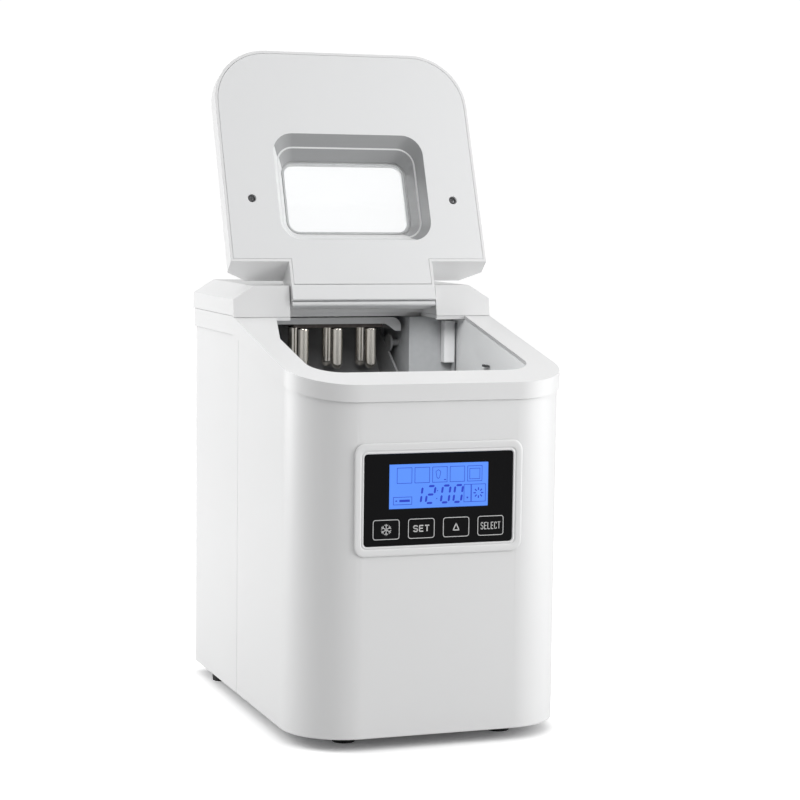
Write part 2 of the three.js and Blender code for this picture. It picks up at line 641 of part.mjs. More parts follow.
function iceBasket() {
  const b = BASKET;
  const tub = (i) => raised(roundedRect(b.left + i, b.right - i, b.front + i, b.rear - i, b.corner - i),
    b.floor + i, b.top + (i ? 5 : 0), 3);
  let basket = tub(0).subtract(tub(b.wall));
  for (let i = 0; i < 5; i += 1) {
    const x = b.left + 24 + i * 26;
    basket = basket.subtract(box(x, x + 8, b.front + 22, b.rear - 22, b.floor - 1, b.floor + 5));
  }
  for (let i = 0; i < 5; i += 1) {
    const y = b.front + 24 + i * 22;
    basket = basket.subtract(box(-150, 150, y, y + 6, b.floor + 18, b.top - 26));
  }
  return basket;
}

/** The duct that the pump fills, which pours into the tray's bay. */
function waterInlet() {
  const i = INLET;
  const duct = box(i.x0, i.x1, i.y - 4.6, i.y + 4.6, i.bottom, i.top);
  return duct.subtract(box(i.x0 + 1.5, i.x1 - 1.5, i.y - 3.1, i.y + 3.1, i.bottom - 1, i.top - 2));
}

function waterPump() {
  return turned([[0, 20], [17, 20], [17, 44], [9, 44], [9, 50], [0, 50]], 60, 20, 24)
    .add(rodX(72, 90, 20, 30, 4, 14));
}

/** From the pump's nose up the right side to the inlet duct. */
function pumpHose() {
  const points = [[90.6, 20, 30], [98, 20, 30], [105, 24, 38], [106.4, 34, 70], [106.4, 44, 180],
    [106.4, 50, 270], [106.4, 54, 306], [103.5, INLET.y, INLET.z], [98.2, INLET.y, INLET.z]];
  return tube(points, 3.6, 34);
}

/** From the water well's floor to the drain plug. */
function drainHose() {
  const x = LINER.right - 22;
  const points = [[x, DRAIN.y, LINER.floor - 2 * GAP], [x, DRAIN.y, 55], [80, DRAIN.y, 49],
    [90, DRAIN.y, DRAIN.z], [105.6, DRAIN.y, DRAIN.z]];
  return tube(points, 4.5, 16);
}

function drainPlug() {
  const x = BODY_HALF_WIDTH;
  const cap = rodX(x + 0.4, x + 1.3, DRAIN.y, DRAIN.z, 11, 28);
  const stem = rodX(x - 11, x + 1, DRAIN.y, DRAIN.z, 5, 20);
  return cap.add(stem);
}

addPiece('inner_liner', liner(), PALE);
addPiece('evaporator_cover', evaporatorCover(), GREY);
addPiece('evaporator', evaporator(), COPPER);
FINGER.ys.forEach((y, row) => FINGER.xs.forEach((x, column) => {
  addPiece(`ice_finger_${row * 3 + column + 1}`, finger(x, y), CHROME);
}));
addPiece('water_tray', waterTray(), GREY);
addPiece('tray_motor', trayMotor(), DARK);
addPiece('ice_pusher', icePusher(), GREY);
addPiece('pusher_motor', pusherMotor(), DARK);
addPiece('ice_basket', iceBasket(), PALE);
addPiece('water_pump', waterPump(), DARK);
addPiece('water_inlet', waterInlet(), WHITE);
addPiece('pump_hose', pumpHose(), PALE);
addPiece('drain_hose', drainHose(), PALE);
addPiece('drain_plug', drainPlug(), RUBBER);
addPiece('ice_sensor_left', box(-96.7, -92, 2, 12, 236, 250), DARK);
addPiece('ice_sensor_right', box(90, 94.7, 2, 12, 236, 250), DARK);

// ---------------------------------------------------------------- cold side
function compressor() {
  const c = COMPRESSOR;
  const can = turned([
    [0, c.bottom], [c.radius - 8, c.bottom], [c.radius, c.bottom + 10], [c.radius, c.bottom + 48],
    [c.radius + 2.5, c.bottom + 48], [c.radius + 2.5, c.bottom + 52], [c.radius, c.bottom + 52],
    [c.radius, c.top - 16], [c.radius - 10, c.top - 4], [c.radius - 24, c.top], [0, c.top]], c.x, c.y, 32);
  const plate = raised(roundedRect(c.x - 52, c.x + 52, c.y - 40, c.y + 40, 10), c.bottom - 3, c.bottom + 1);
  const stub = post(c.x - STUB.dx, c.y - STUB.dy, c.top - 18, c.top + 3, 4, 14);
  return joined(can, plate, stub);
}

function condenser() {
  const x0 = 92;
  const x1 = 110;
  const tank = [box(x0 + 5, x1 - 5, 66, 156, 30, 36), box(x0 + 5, x1 - 5, 66, 156, 146, 152)];
  const fins = [];
  for (let i = 0; i < 16; i += 1) {
    const y = 68 + i * 5.6;
    fins.push(box(x0, x1, y, y + 1, 32, 150));
  }
  return joined(...tank, ...fins);
}

function fanShroud() {
  const plate = box(82, 88, 62, 160, 26, 156);
  const throat = rodX(80, 90, FAN.y, FAN.z, FAN.radius + 3, 40);
  const spider = box(83, 86, FAN.y - 4, FAN.y + 4, FAN.z - 46, FAN.z + 46);
  const hub = rodX(83, 86, FAN.y, FAN.z, 15, 24);
  return plate.subtract(throat).add(spider).add(hub).subtract(rodX(80, 90, FAN.y, FAN.z, 3.4));
}

function fanMotor() {
  return rodX(50, 62, FAN.y, FAN.z, 17, 28).add(rodX(61, 66, FAN.y, FAN.z, 6, 20))
    .subtract(rodX(60, 67, FAN.y, FAN.z, 3.4))
    .add(box(52, 60, FAN.y - 3, FAN.y + 3, 16, FAN.z - 10));
}

function fanRotor() {
  const hub = rodX(67, 80, FAN.y, FAN.z, 13, 28).add(rodX(63, 85, FAN.y, FAN.z, 3));
  const blades = [];
  for (let i = 0; i < 5; i += 1) {
    const blade = box(-1, 1, -10, 10, 9, FAN.radius - 2).rotate([0, 0, 32]).translate([73.5, 0, 0]);
    blades.push(blade.rotate([i * 72, 0, 0]).translate([0, FAN.y, FAN.z]));
  }
  return joined(hub, ...blades);
}

function filterDrier() {
  const profile = [[0, 40], [3, 40], [3, 48], [9, 56], [9, 96], [3, 104], [3, 112], [0, 112]];
  return turned(profile, DRIER.x, DRIER.y, 14);
}

/** From the compressor's top to the condenser's upper tank. */
function dischargeTube() {
  const { x, y, top } = COMPRESSOR;
  const points = [[x, y, top + 2 * GAP], [x, y, 142], [-24, 122, 166], [40, 140, 176], [90, 142, 174],
    [101, 141, 164], [101, 141, 152.6]];
  return tube(points, 2.6, 26);
}

/** From the condenser's lower tank to the filter drier. */
function liquidTube() {
  const points = [[101, 150, 29.4], [101, 150, 25], [92, 152, 21], [50, 153, 21], [28, 151, 24],
    [DRIER.x, DRIER.y, 32], [DRIER.x, DRIER.y, 39.4]];
  return tube(points, 2.2, 22);
}

/** From the evaporator back to the stub on the compressor. */
function suctionTube() {
  const x = COMPRESSOR.x - STUB.dx;
  const y = COMPRESSOR.y - STUB.dy;
  const { suctionX, z } = PIPES;
  const points = [[x, y, COMPRESSOR.top + 3.6], [x, y, 146], [-84, 120, 190], [-90, 142, 240],
    [-84, 148, 296], [-62, 150, 324], [suctionX, 142, z], [suctionX, 130, z], [suctionX, 114, z]];
  return tube(points, 2.6, 34);
}

/** From the filter drier up to the evaporator. */
function capillaryTube() {
  const { capillaryX, z } = PIPES;
  const points = [[DRIER.x, DRIER.y, 112.6], [DRIER.x, DRIER.y, 130], [38, 151, 190], [44, 151, 250],
    [30, 151, 306], [0, 150, 326], [capillaryX, 142, z], [capillaryX, 130, z], [capillaryX, 109, z]];
  return tube(points, 1.4, 34);
}

function powerGland() {
  const y = BODY_HALF_DEPTH;
  const { x, z } = GLAND;
  return rodY(y - 7, y + 1, x, z, 8, 24)
    .add(rodY(y + 0.3, y + 1.5, x, z, 10.5, 28))
    .subtract(rodY(y - 8, y + 3, x, z, 3.6, 16));
}

addPiece('compressor', compressor(), ENAMEL);
[[-42, -30], [42, -30], [0, 34]].forEach(([dx, dy], i) => {
  const bottom = BODY_BOTTOM + 5.5 + GAP;
  const grommet = post(COMPRESSOR.x + dx, COMPRESSOR.y + dy, bottom, COMPRESSOR.bottom - 3 - GAP, 7, 18);
  addPiece(`compressor_grommet_${i + 1}`, grommet, RUBBER);
});
addPiece('condenser', condenser(), ALUMINIUM);
addPiece('fan_shroud', fanShroud(), DARK);
addPiece('fan_motor', fanMotor(), DARK);
addPiece('fan_rotor', fanRotor(), DARK);
addPiece('filter_drier', filterDrier(), COPPER);
addPiece('discharge_tube', dischargeTube(), COPPER);
addPiece('liquid_tube', liquidTube(), COPPER);
addPiece('suction_tube', suctionTube(), COPPER);
addPiece('capillary_tube', capillaryTube(), COPPER);
addPiece('power_gland', powerGland(), RUBBER);

export default iceMaker;
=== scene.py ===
"""A countertop ice maker with its lid open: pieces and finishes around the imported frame."""
import json
import logging
import math
from dataclasses import dataclass
from enum import Enum

import bmesh
import bpy
from mathutils import Matrix, Vector

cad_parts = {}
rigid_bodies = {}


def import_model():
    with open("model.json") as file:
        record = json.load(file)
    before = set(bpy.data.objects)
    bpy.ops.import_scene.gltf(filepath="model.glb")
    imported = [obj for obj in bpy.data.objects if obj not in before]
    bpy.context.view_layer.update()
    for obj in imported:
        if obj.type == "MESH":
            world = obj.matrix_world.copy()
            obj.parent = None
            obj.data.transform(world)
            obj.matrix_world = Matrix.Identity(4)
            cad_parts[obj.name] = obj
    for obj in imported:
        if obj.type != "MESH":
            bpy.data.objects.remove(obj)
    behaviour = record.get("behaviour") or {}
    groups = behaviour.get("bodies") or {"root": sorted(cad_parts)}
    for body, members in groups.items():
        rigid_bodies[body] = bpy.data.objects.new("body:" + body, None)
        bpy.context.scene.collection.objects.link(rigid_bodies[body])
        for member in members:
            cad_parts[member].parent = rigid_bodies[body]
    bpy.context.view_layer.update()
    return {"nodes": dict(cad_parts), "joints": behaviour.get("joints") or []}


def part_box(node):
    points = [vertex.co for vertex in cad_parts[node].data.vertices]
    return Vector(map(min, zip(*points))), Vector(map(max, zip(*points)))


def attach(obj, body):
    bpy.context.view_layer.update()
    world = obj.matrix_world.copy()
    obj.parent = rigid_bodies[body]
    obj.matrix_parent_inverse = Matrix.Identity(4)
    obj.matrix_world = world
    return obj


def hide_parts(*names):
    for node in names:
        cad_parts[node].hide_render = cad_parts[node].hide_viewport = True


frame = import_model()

LOG = logging.getLogger("ice_maker")
MM = 0.001

Point2 = tuple[float, float]
Point3 = tuple[float, float, float]
Colour = tuple[float, float, float]


class Body(str, Enum):
    """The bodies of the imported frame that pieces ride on."""

    CABINET = "cabinet"
    LID = "lid"
    TRAY = "tray"
    PUSHER = "pusher"
    BASKET = "basket"
    COOL_KEY = "cool_key"
    SET_KEY = "set_key"
    MODE_KEY = "mode_key"
    CHOOSE_KEY = "choose_key"


class Slot(str, Enum):
    """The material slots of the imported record."""

    STEEL_PAN = "zinc_steel"
    SHELL = "white_shell"
    INNER = "white_inner"
    RUBBER = "foot_rubber"
    WINDOW = "clear_window"
    SCREW = "screw_steel"
    GLOSS_BLACK = "black_panel"
    SCREEN = "blue_screen"
    BOARD = "circuit_board"
    LINER = "grey_white_liner"
    DARK = "dark_grey_plastic"
    COPPER = "copper"
    CHROME = "chrome_finger"
    BLACK = "black_plastic"
    HOSE = "silicone_hose"
    ENAMEL = "black_enamel"
    ALUMINIUM = "bare_aluminium"


# ------------------------------------------------------------------ node sheets
class Sheet:
    """A node tree that is being filled in, with short calls for nodes and links."""

    def __init__(self, tree: bpy.types.NodeTree) -> None:
        """Keep the tree.

        Args:
            tree: the tree of a material or of a node group.
        """
        self.tree = tree

    def node(
        self, kind: str, values: dict[str, object] | None = None, **settings: object
    ) -> bpy.types.Node:
        """Add a node.

        Args:
            kind: the node's type name, such as ShaderNodeMath.
            values: input socket values by name or by number.
            **settings: properties of the node itself.

        Returns:
            The new node.
        """
        made = self.tree.nodes.new(kind)
        for key, value in settings.items():
            setattr(made, key, value)
        for key, value in (values or {}).items():
            made.inputs[key].default_value = value
        return made

    def seen(self) -> bpy.types.NodeSocket:
        """Tell the rays that show a surface, straight or through clear plastic, from the rest.

        Returns:
            A socket that is 1 for those rays and 0 for the others.
        """
        path = self.node("ShaderNodeLightPath")
        return self.maths(
            "MAXIMUM", path.outputs["Is Camera Ray"], path.outputs["Is Transmission Ray"]
        )

    def join(self, source: bpy.types.NodeSocket, target: bpy.types.NodeSocket) -> None:
        """Link one socket to another.

        Args:
            source: an output socket.
            target: an input socket.
        """
        self.tree.links.new(source, target)

    def maths(
        self, operation: str, first: object, second: object = 0.0, clamp: bool = False
    ) -> bpy.types.NodeSocket:
        """Add a Math node fed by sockets or by plain numbers.

        Args:
            operation: the node's operation, such as MULTIPLY.
            first: a socket or a number.
            second: a socket or a number.
            clamp: whether the result is held between 0 and 1.

        Returns:
            The node's output socket.
        """
        made = self.node("ShaderNodeMath", operation=operation, use_clamp=clamp)
        for place, value in enumerate((first, second)):
            if isinstance(value, bpy.types.NodeSocket):
                self.join(value, made.inputs[place])
            else:
                made.inputs[place].default_value = value
        return made.outputs[0]

    def blend(
        self, mask: object, first: object, second: object, mode: str = "MIX"
    ) -> bpy.types.NodeSocket:
        """Mix two colours by a mask.

        Args:
            mask: a socket or a number from 0 to 1.
            first: the colour where the mask is 0.
            second: the colour where the mask is 1.
            mode: the blend type.

        Returns:
            The colour socket of the Mix node.
        """
        made = self.node("ShaderNodeMix", data_type="RGBA", blend_type=mode)
        for socket, value in (
            (made.inputs[0], mask), (made.inputs[6], first), (made.inputs[7], second)
        ):
            if isinstance(value, bpy.types.NodeSocket):
                self.join(value, socket)
            else:
                socket.default_value = value
        return made.outputs[2]

    def ramp(self, value: bpy.types.NodeSocket, low: float, high: float) -> bpy.types.NodeSocket:
        """Stretch a value so that low gives 0 and high gives 1, held between them.

        Args:
            value: the socket to stretch.
            low: the value that gives 0.
            high: the value that gives 1.

        Returns:
            The stretched value's socket.
        """
        made = self.node("ShaderNodeMapRange", {1: low, 2: high, 3: 0.0, 4: 1.0}, clamp=True)
        self.join(value, made.inputs[0])
        return made.outputs[0]


class Effects:
    """The shader node groups that more than one finish uses, each built once."""

    def __init__(self) -> None:
        """Start with no groups built."""
        self.built: dict[str, bpy.types.NodeTree] = {}

    def _new(
        self, name: str, takes: dict[str, tuple[str, object]], gives: dict[str, str]
    ) -> tuple[Sheet, bpy.types.Node, bpy.types.Node]:
        """Make an empty group with its sockets.

        Args:
            name: the group's name.
            takes: input names, each with its socket type and default value.
            gives: output names, each with its socket type.

        Returns:
            The sheet, the group's input node and its output node.
        """
        tree = bpy.data.node_groups.new(name, "ShaderNodeTree")
        for label, (kind, value) in takes.items():
            socket = tree.interface.new_socket(label, in_out="INPUT", socket_type=kind)
            socket.default_value = value
        for label, kind in gives.items():
            tree.interface.new_socket(label, in_out="OUTPUT", socket_type=kind)
        self.built[name] = tree
        sheet = Sheet(tree)
        return sheet, sheet.node("NodeGroupInput"), sheet.node("NodeGroupOutput")

    def get(self, name: str) -> bpy.types.NodeTree:
        """Return a group by name, building it the first time.

        Args:
            name: one of the group names, which is also the name of the method that builds it.

        Returns:
            The group's node tree.
        """
        if name not in self.built:
            getattr(self, "_build_" + name)(name)
        return self.built[name]

    def place(self, sheet: Sheet, name: str, values: dict[str, object]) -> bpy.types.Node:
        """Place a group in a material's sheet.

        Args:
            sheet: the material's sheet.
            name: the group's name.
            values: sockets or plain values for the group's inputs.

        Returns:
            The group node.
        """
        made = sheet.node("ShaderNodeGroup", node_tree=self.get(name))
        for key, value in values.items():
            if isinstance(value, bpy.types.NodeSocket):
                sheet.join(value, made.inputs[key])
            else:
                made.inputs[key].default_value = value
        return made

    def _noise(
        self, sheet: Sheet, scale: object, detail: float = 3.0, stretch: Point3 = (1.0, 1.0, 1.0)
    ) -> bpy.types.NodeSocket:
        """Add noise over the piece's own coordinates.

        Args:
            sheet: the sheet to work in.
            scale: a socket or a number, in turns per metre.
            detail: the number of octaves.
            stretch: a scale along each axis, for drawn-out grain.

        Returns:
            The noise value's socket.
        """
        place = sheet.node("ShaderNodeTexCoord").outputs["Object"]
        drawn = sheet.node("ShaderNodeMapping")
        drawn.inputs["Scale"].default_value = stretch
        sheet.join(place, drawn.inputs["Vector"])
        noise = sheet.node("ShaderNodeTexNoise", {"Detail": detail, "Roughness": 0.55})
        sheet.join(drawn.outputs[0], noise.inputs["Vector"])
        if isinstance(scale, bpy.types.NodeSocket):
            sheet.join(scale, noise.inputs["Scale"])
        else:
            noise.inputs["Scale"].default_value = scale
        return noise.outputs["Fac"]

    def _build_colour_drift(self, name: str) -> None:
        """Build a slow, faint change of colour over a moulding.

        Args:
            name: the group's name.
        """
        sheet, given, result = self._new(
            name,
            {
                "Colour": ("NodeSocketColor", (0.8, 0.8, 0.8, 1.0)),
                "Amount": ("NodeSocketFloat", 0.03), "Scale": ("NodeSocketFloat", 14.0),
            },
            {"Colour": "NodeSocketColor"},
        )
        noise = self._noise(sheet, given.outputs["Scale"], 4.0)
        swing = sheet.maths("SUBTRACT", noise, 0.5)
        lift = sheet.maths("ADD", sheet.maths("MULTIPLY", swing, given.outputs["Amount"]), 1.0)
        tint = sheet.node("ShaderNodeCombineColor")
        for socket in tint.inputs[:3]:
            sheet.join(lift, socket)
        sheet.join(
            sheet.blend(1.0, given.outputs["Colour"], tint.outputs[0], "MULTIPLY"),
            result.inputs["Colour"],
        )

    def _build_mould_grain(self, name: str) -> None:
        """Build the fine pebble that a mould leaves.

        Args:
            name: the group's name.
        """
        sheet, given, result = self._new(
            name,
            {"Scale": ("NodeSocketFloat", 900.0)},
            {"Height": "NodeSocketFloat"},
        )
        fine = self._noise(sheet, given.outputs["Scale"], 2.0)
        slow = self._noise(sheet, 42.0, 1.0)
        sheet.join(
            sheet.maths(
                "ADD", sheet.maths("MULTIPLY", fine, 0.92), sheet.maths("MULTIPLY", slow, 0.08)
            ),
            result.inputs["Height"],
        )

    def _build_handling(self, name: str) -> None:
        """Build uneven gloss from wiping and handling.

        Args:
            name: the group's name.
        """
        sheet, given, result = self._new(
            name,
            {"Roughness": ("NodeSocketFloat", 0.4), "Amount": ("NodeSocketFloat", 0.08)},
            {"Roughness": "NodeSocketFloat"},
        )
        cloud = sheet.maths("SUBTRACT", self._noise(sheet, 26.0, 4.0), 0.5)
        wipes = sheet.maths("SUBTRACT", self._noise(sheet, 9.0, 2.0, (3.0, 1.0, 1.0)), 0.5)
        both = sheet.maths("ADD", cloud, sheet.maths("MULTIPLY", wipes, 0.5))
        sheet.join(
            sheet.maths(
                "ADD", given.outputs["Roughness"],
                sheet.maths("MULTIPLY", both, given.outputs["Amount"]), True,
            ),
            result.inputs["Roughness"],
        )

    def _build_edge_wear(self, name: str) -> None:
        """Build a mask that is 1 on the raised edges that hands and cloths reach.

        Args:
            name: the group's name.
        """
        sheet, given, result = self._new(
            name,
            {"Amount": ("NodeSocketFloat", 0.5)},
            {"Mask": "NodeSocketFloat"},
        )
        geometry = sheet.node("ShaderNodeNewGeometry")
        edge = sheet.ramp(geometry.outputs["Pointiness"], 0.515, 0.56)
        broken = sheet.ramp(self._noise(sheet, 180.0, 3.0), 0.35, 0.75)
        worn = sheet.maths("MULTIPLY", edge, broken)
        sheet.join(
            sheet.maths("MULTIPLY", worn, given.outputs["Amount"], True), result.inputs["Mask"]
        )

    def _build_dust(self, name: str) -> None:
        """Build a mask of fine dust that settles where a surface faces up.

        Args:
            name: the group's name.
        """
        sheet, given, result = self._new(
            name,
            {"Amount": ("NodeSocketFloat", 0.2)},
            {"Mask": "NodeSocketFloat"},
        )
        geometry = sheet.node("ShaderNodeNewGeometry")
        parts = sheet.node("ShaderNodeSeparateXYZ")
        sheet.join(geometry.outputs["Normal"], parts.inputs[0])
        up = sheet.ramp(parts.outputs["Z"], 0.55, 1.0)
        specks = sheet.ramp(self._noise(sheet, 420.0, 4.0), 0.45, 0.8)
        sheet.join(
            sheet.maths(
                "MULTIPLY", sheet.maths("MULTIPLY", up, specks), given.outputs["Amount"], True
            ),
            result.inputs["Mask"],
        )

    def _build_drawn_grain(self, name: str) -> None:
        """Build the straight fine lines of drawn, rolled or brushed metal.

        Args:
            name: the group's name.
        """
        sheet, given, result = self._new(
            name,
            {"Scale": ("NodeSocketFloat", 160.0)},
            {"Height": "NodeSocketFloat", "Value": "NodeSocketFloat"},
        )
        lines = self._noise(sheet, given.outputs["Scale"], 2.0, (0.06, 4.0, 4.0))
        sheet.join(lines, result.inputs["Height"])
        sheet.join(sheet.ramp(lines, 0.3, 0.7), result.inputs["Value"])


EFFECTS = Effects()


# ------------------------------------------------------------------ finishes
def _with_alpha(colour: Colour) -> tuple[float, float, float, float]:
    """Add full alpha to a colour.

    Args:
        colour: three linear values.

    Returns:
        The colour with its alpha.
    """
    return (*colour, 1.0)


DUST_COLOUR = (0.55, 0.54, 0.52, 1.0)
DUST_DULLING = 0.4


@dataclass(frozen=True)
class Finish:
    """A surface with colour drift, wear, dust, uneven gloss and a fine relief."""

    name: str
    colour: Colour
    roughness: float
    metallic: float = 0.0
    drift: float = 0.04
    drift_scale: float = 14.0
    grain_scale: float = 900.0
    grain_height: float = 0.00003
    grain_strength: float = 0.25
    gloss_change: float = 0.08
    worn_colour: Colour = (0.9, 0.9, 0.9)
    wear: float = 0.15
    dust: float = 0.1
    coat: float = 0.0
    coat_roughness: float = 0.05
    specular: float = 0.5
    drawn: bool = False
    transmission: float = 0.0
    ior: float = 1.5
    glow: float = 0.0
    glow_colour: Colour = (1.0, 1.0, 1.0)

    def material(self) -> bpy.types.Material:
        """Return the material, building it the first time.

        Returns:
            The node material of this finish.
        """
        known = bpy.data.materials.get(self.name)
        if known:
            return known
        made = bpy.data.materials.new(self.name)
        made.use_nodes = True
        sheet = Sheet(made.node_tree)
        shader = made.node_tree.nodes["Principled BSDF"]
        self._fill(sheet, shader)
        return made

    def _fill(self, sheet: Sheet, shader: bpy.types.Node) -> None:
        """Lay out the nodes of this finish.

        Args:
            sheet: the material's sheet.
            shader: its Principled BSDF.
        """
        drift = EFFECTS.place(
            sheet, "colour_drift",
            {"Colour": _with_alpha(self.colour), "Amount": self.drift, "Scale": self.drift_scale},
        )
        wear = EFFECTS.place(sheet, "edge_wear", {"Amount": self.wear})
        dust = EFFECTS.place(sheet, "dust", {"Amount": self.dust})
        worn = sheet.blend(
            wear.outputs["Mask"], drift.outputs["Colour"], _with_alpha(self.worn_colour)
        )
        dusty = sheet.blend(dust.outputs["Mask"], worn, DUST_COLOUR)
        sheet.join(dusty, shader.inputs["Base Color"])
        gloss = EFFECTS.place(
            sheet, "handling", {"Roughness": self.roughness, "Amount": self.gloss_change}
        )
        dulled = sheet.maths(
            "ADD", gloss.outputs["Roughness"],
            sheet.maths("MULTIPLY", dust.outputs["Mask"], DUST_DULLING), True,
        )
        sheet.join(dulled, shader.inputs["Roughness"])
        relief = "drawn_grain" if self.drawn else "mould_grain"
        grain = EFFECTS.place(sheet, relief, {"Scale": self.grain_scale})
        bump = sheet.node(
            "ShaderNodeBump", {"Strength": self.grain_strength, "Distance": self.grain_height}
        )
        sheet.join(grain.outputs["Height"], bump.inputs["Height"])
        sheet.join(bump.outputs["Normal"], shader.inputs["Normal"])
        plain = {
            "Metallic": self.metallic, "Specular IOR Level": self.specular,
            "Coat Weight": self.coat, "Coat Roughness": self.coat_roughness,
            "Transmission Weight": self.transmission, "IOR": self.ior,
        }
        for socket, value in plain.items():
            shader.inputs[socket].default_value = value
        if self.glow:
            shader.inputs["Emission Strength"].default_value = self.glow
            lit = EFFECTS.place(
                sheet, "colour_drift",
                {
                    "Colour": _with_alpha(self.glow_colour), "Amount": self.drift,
                    "Scale": self.drift_scale,
                },
            )
            sheet.join(lit.outputs["Colour"], shader.inputs["Emission Color"])


WHITE_SHELL = Finish(
    "shell_white_gloss", (0.76, 0.762, 0.764), 0.36, drift=0.012, grain_scale=520.0,
    grain_height=0.000004, grain_strength=0.1, gloss_change=0.02, wear=0.0, dust=0.0,
)
WHITE_INNER = Finish(
    "shell_white_satin", (0.76, 0.765, 0.77), 0.4, drift=0.012, grain_scale=520.0,
    grain_height=0.000005, grain_strength=0.1, gloss_change=0.02, wear=0.0, dust=0.0,
)
LINER_PALE = Finish("liner_pale_grey", (0.76, 0.77, 0.775), 0.4, drift=0.03, dust=0.0, wear=0.0)
HOOD_GREY = Finish(
    "hood_mid_grey", (0.5, 0.505, 0.51), 0.36, drift=0.05, worn_colour=(0.4, 0.4, 0.4)
)
# Painted shadow: a near-black copper that stands in for the shadow under the hood.
EVAPORATOR_PAINTED_SHADOW = Finish(
    "evaporator_dark_copper", (0.05, 0.04, 0.036), 0.5, metallic=0.6, drift=0.4, drift_scale=80.0,
    wear=0.05,
)
DARK_PLASTIC = Finish(
    "dark_grey_moulding", (0.2, 0.202, 0.206), 0.38, drift=0.12, worn_colour=(0.2, 0.2, 0.2),
    grain_strength=0.4,
)
BLACK_PLASTIC = Finish(
    "black_moulding", (0.018, 0.018, 0.019), 0.48, drift=0.2, worn_colour=(0.1, 0.1, 0.1),
    grain_strength=0.5,
)
GLOSS_BLACK = Finish(
    "panel_black_gloss", (0.004, 0.004, 0.0045), 0.12, specular=0.12, gloss_change=0.05, wear=0.0,
    dust=0.004, drift=0.1, grain_strength=0.05,
)
SCREEN_BLUE = Finish(
    "screen_blue_lit", (0.03, 0.06, 0.15), 0.3, specular=0.1, glow=0.95,
    glow_colour=(0.10, 0.27, 0.92), wear=0.0, dust=0.0, drift=0.18, drift_scale=22.0,
    grain_strength=0.05,
)
SCREEN_INK = Finish(
    "screen_dark_segments", (0.01, 0.02, 0.10), 0.35, specular=0.1, glow=0.8,
    glow_colour=(0.03, 0.06, 0.62), wear=0.0, dust=0.0, drift=0.1, grain_strength=0.05,
)
PRINT_GREY = Finish(
    "key_print_pale", (0.62, 0.62, 0.62), 0.45, wear=0.0, dust=0.0, drift=0.05, grain_strength=0.1
)
RUBBER = Finish(
    "rubber_black", (0.02, 0.02, 0.021), 0.72, drift=0.2, grain_strength=0.6, grain_scale=1400.0,
    worn_colour=(0.08, 0.08, 0.08), dust=0.2,
)
RUBBER_WHITE = Finish(
    "rubber_pale", (0.52, 0.525, 0.52), 0.6, drift=0.06, grain_strength=0.4, dust=0.05
)
CHROME = Finish(
    "finger_chrome", (0.80, 0.755, 0.69), 0.13, metallic=1.0, drift=0.1, wear=0.1, dust=0.0,
    grain_strength=0.1,
)
STEEL = Finish(
    "screw_bright_steel", (0.55, 0.55, 0.56), 0.3, metallic=1.0, drift=0.08, drawn=True,
    worn_colour=(0.75, 0.75, 0.75),
)
ZINC = Finish(
    "pan_zinc_steel", (0.52, 0.53, 0.55), 0.42, metallic=1.0, drift=0.25, drift_scale=60.0,
    drawn=True, grain_strength=0.3,
)
ALUMINIUM = Finish("fin_aluminium", (0.70, 0.71, 0.72), 0.34, metallic=1.0, drift=0.1, drawn=True)
COPPER = Finish(
    "tube_copper", (0.70, 0.33, 0.17), 0.3, metallic=1.0, drift=0.3, drift_scale=70.0,
    worn_colour=(0.85, 0.5, 0.3),
)
ENAMEL = Finish(
    "compressor_enamel", (0.012, 0.012, 0.013), 0.28, coat=0.3, drift=0.2, grain_strength=0.5,
    grain_scale=260.0, worn_colour=(0.12, 0.12, 0.12),
)
BOARD_GREEN = Finish(
    "board_green", (0.02, 0.14, 0.05), 0.4, drift=0.3, drift_scale=120.0, coat=0.3,
    worn_colour=(0.3, 0.5, 0.3),
)
HOSE_CLEAR = Finish(
    "hose_milky", (0.72, 0.73, 0.72), 0.35, transmission=0.35, ior=1.42, drift=0.05, dust=0.0
)
WINDOW_CLEAR = Finish(
    "window_clear", (0.96, 0.97, 0.975), 0.05, transmission=0.96, ior=1.49, drift=0.03, wear=0.0,
    dust=0.02, grain_strength=0.05,
)
# Painted shade: a grey copy of the lid panel's white for the recess walls that turn away from the
# light.
RECESS_PAINTED_SHADOW = Finish(
    "recess_smoked_grey", (0.36, 0.365, 0.37), 0.26, drift=0.05, gloss_change=0.04, wear=0.05,
    dust=0.01, worn_colour=(0.6, 0.6, 0.6),
)
STEEL_DARK = Finish(
    "screw_dull_steel", (0.16, 0.16, 0.165), 0.38, metallic=0.9, drift=0.1, drawn=True,
    worn_colour=(0.4, 0.4, 0.4),
)
# Painted shade: a darker grey copy of the liner's pale colour for its rear wall, the finger pocket
# and the corner strip.
LINER_PAINTED_SHADOW = Finish("liner_mid_grey", (0.40, 0.41, 0.42), 0.4, drift=0.04, dust=0.02)
# Painted shadow: near-black for small hollows: the screws' cross recesses, the corner groove, the
# bracket's eye and the wall clip.
PAINTED_SHADOW_BLACK = Finish("recess_dark", (0.05, 0.052, 0.055), 0.55, drift=0.1, wear=0.0)

BY_SLOT: dict[str, Finish] = {
    Slot.STEEL_PAN.value: ZINC, Slot.SHELL.value: WHITE_SHELL, Slot.INNER.value: WHITE_INNER,
    Slot.RUBBER.value: RUBBER, Slot.WINDOW.value: WINDOW_CLEAR, Slot.SCREW.value: STEEL,
    Slot.GLOSS_BLACK.value: GLOSS_BLACK, Slot.SCREEN.value: SCREEN_BLUE,
    Slot.BOARD.value: BOARD_GREEN,
    Slot.LINER.value: LINER_PALE, Slot.DARK.value: DARK_PLASTIC, Slot.COPPER.value: COPPER,
    Slot.CHROME.value: CHROME, Slot.BLACK.value: BLACK_PLASTIC, Slot.HOSE.value: HOSE_CLEAR,
    Slot.ENAMEL.value: ENAMEL, Slot.ALUMINIUM.value: ALUMINIUM,
}


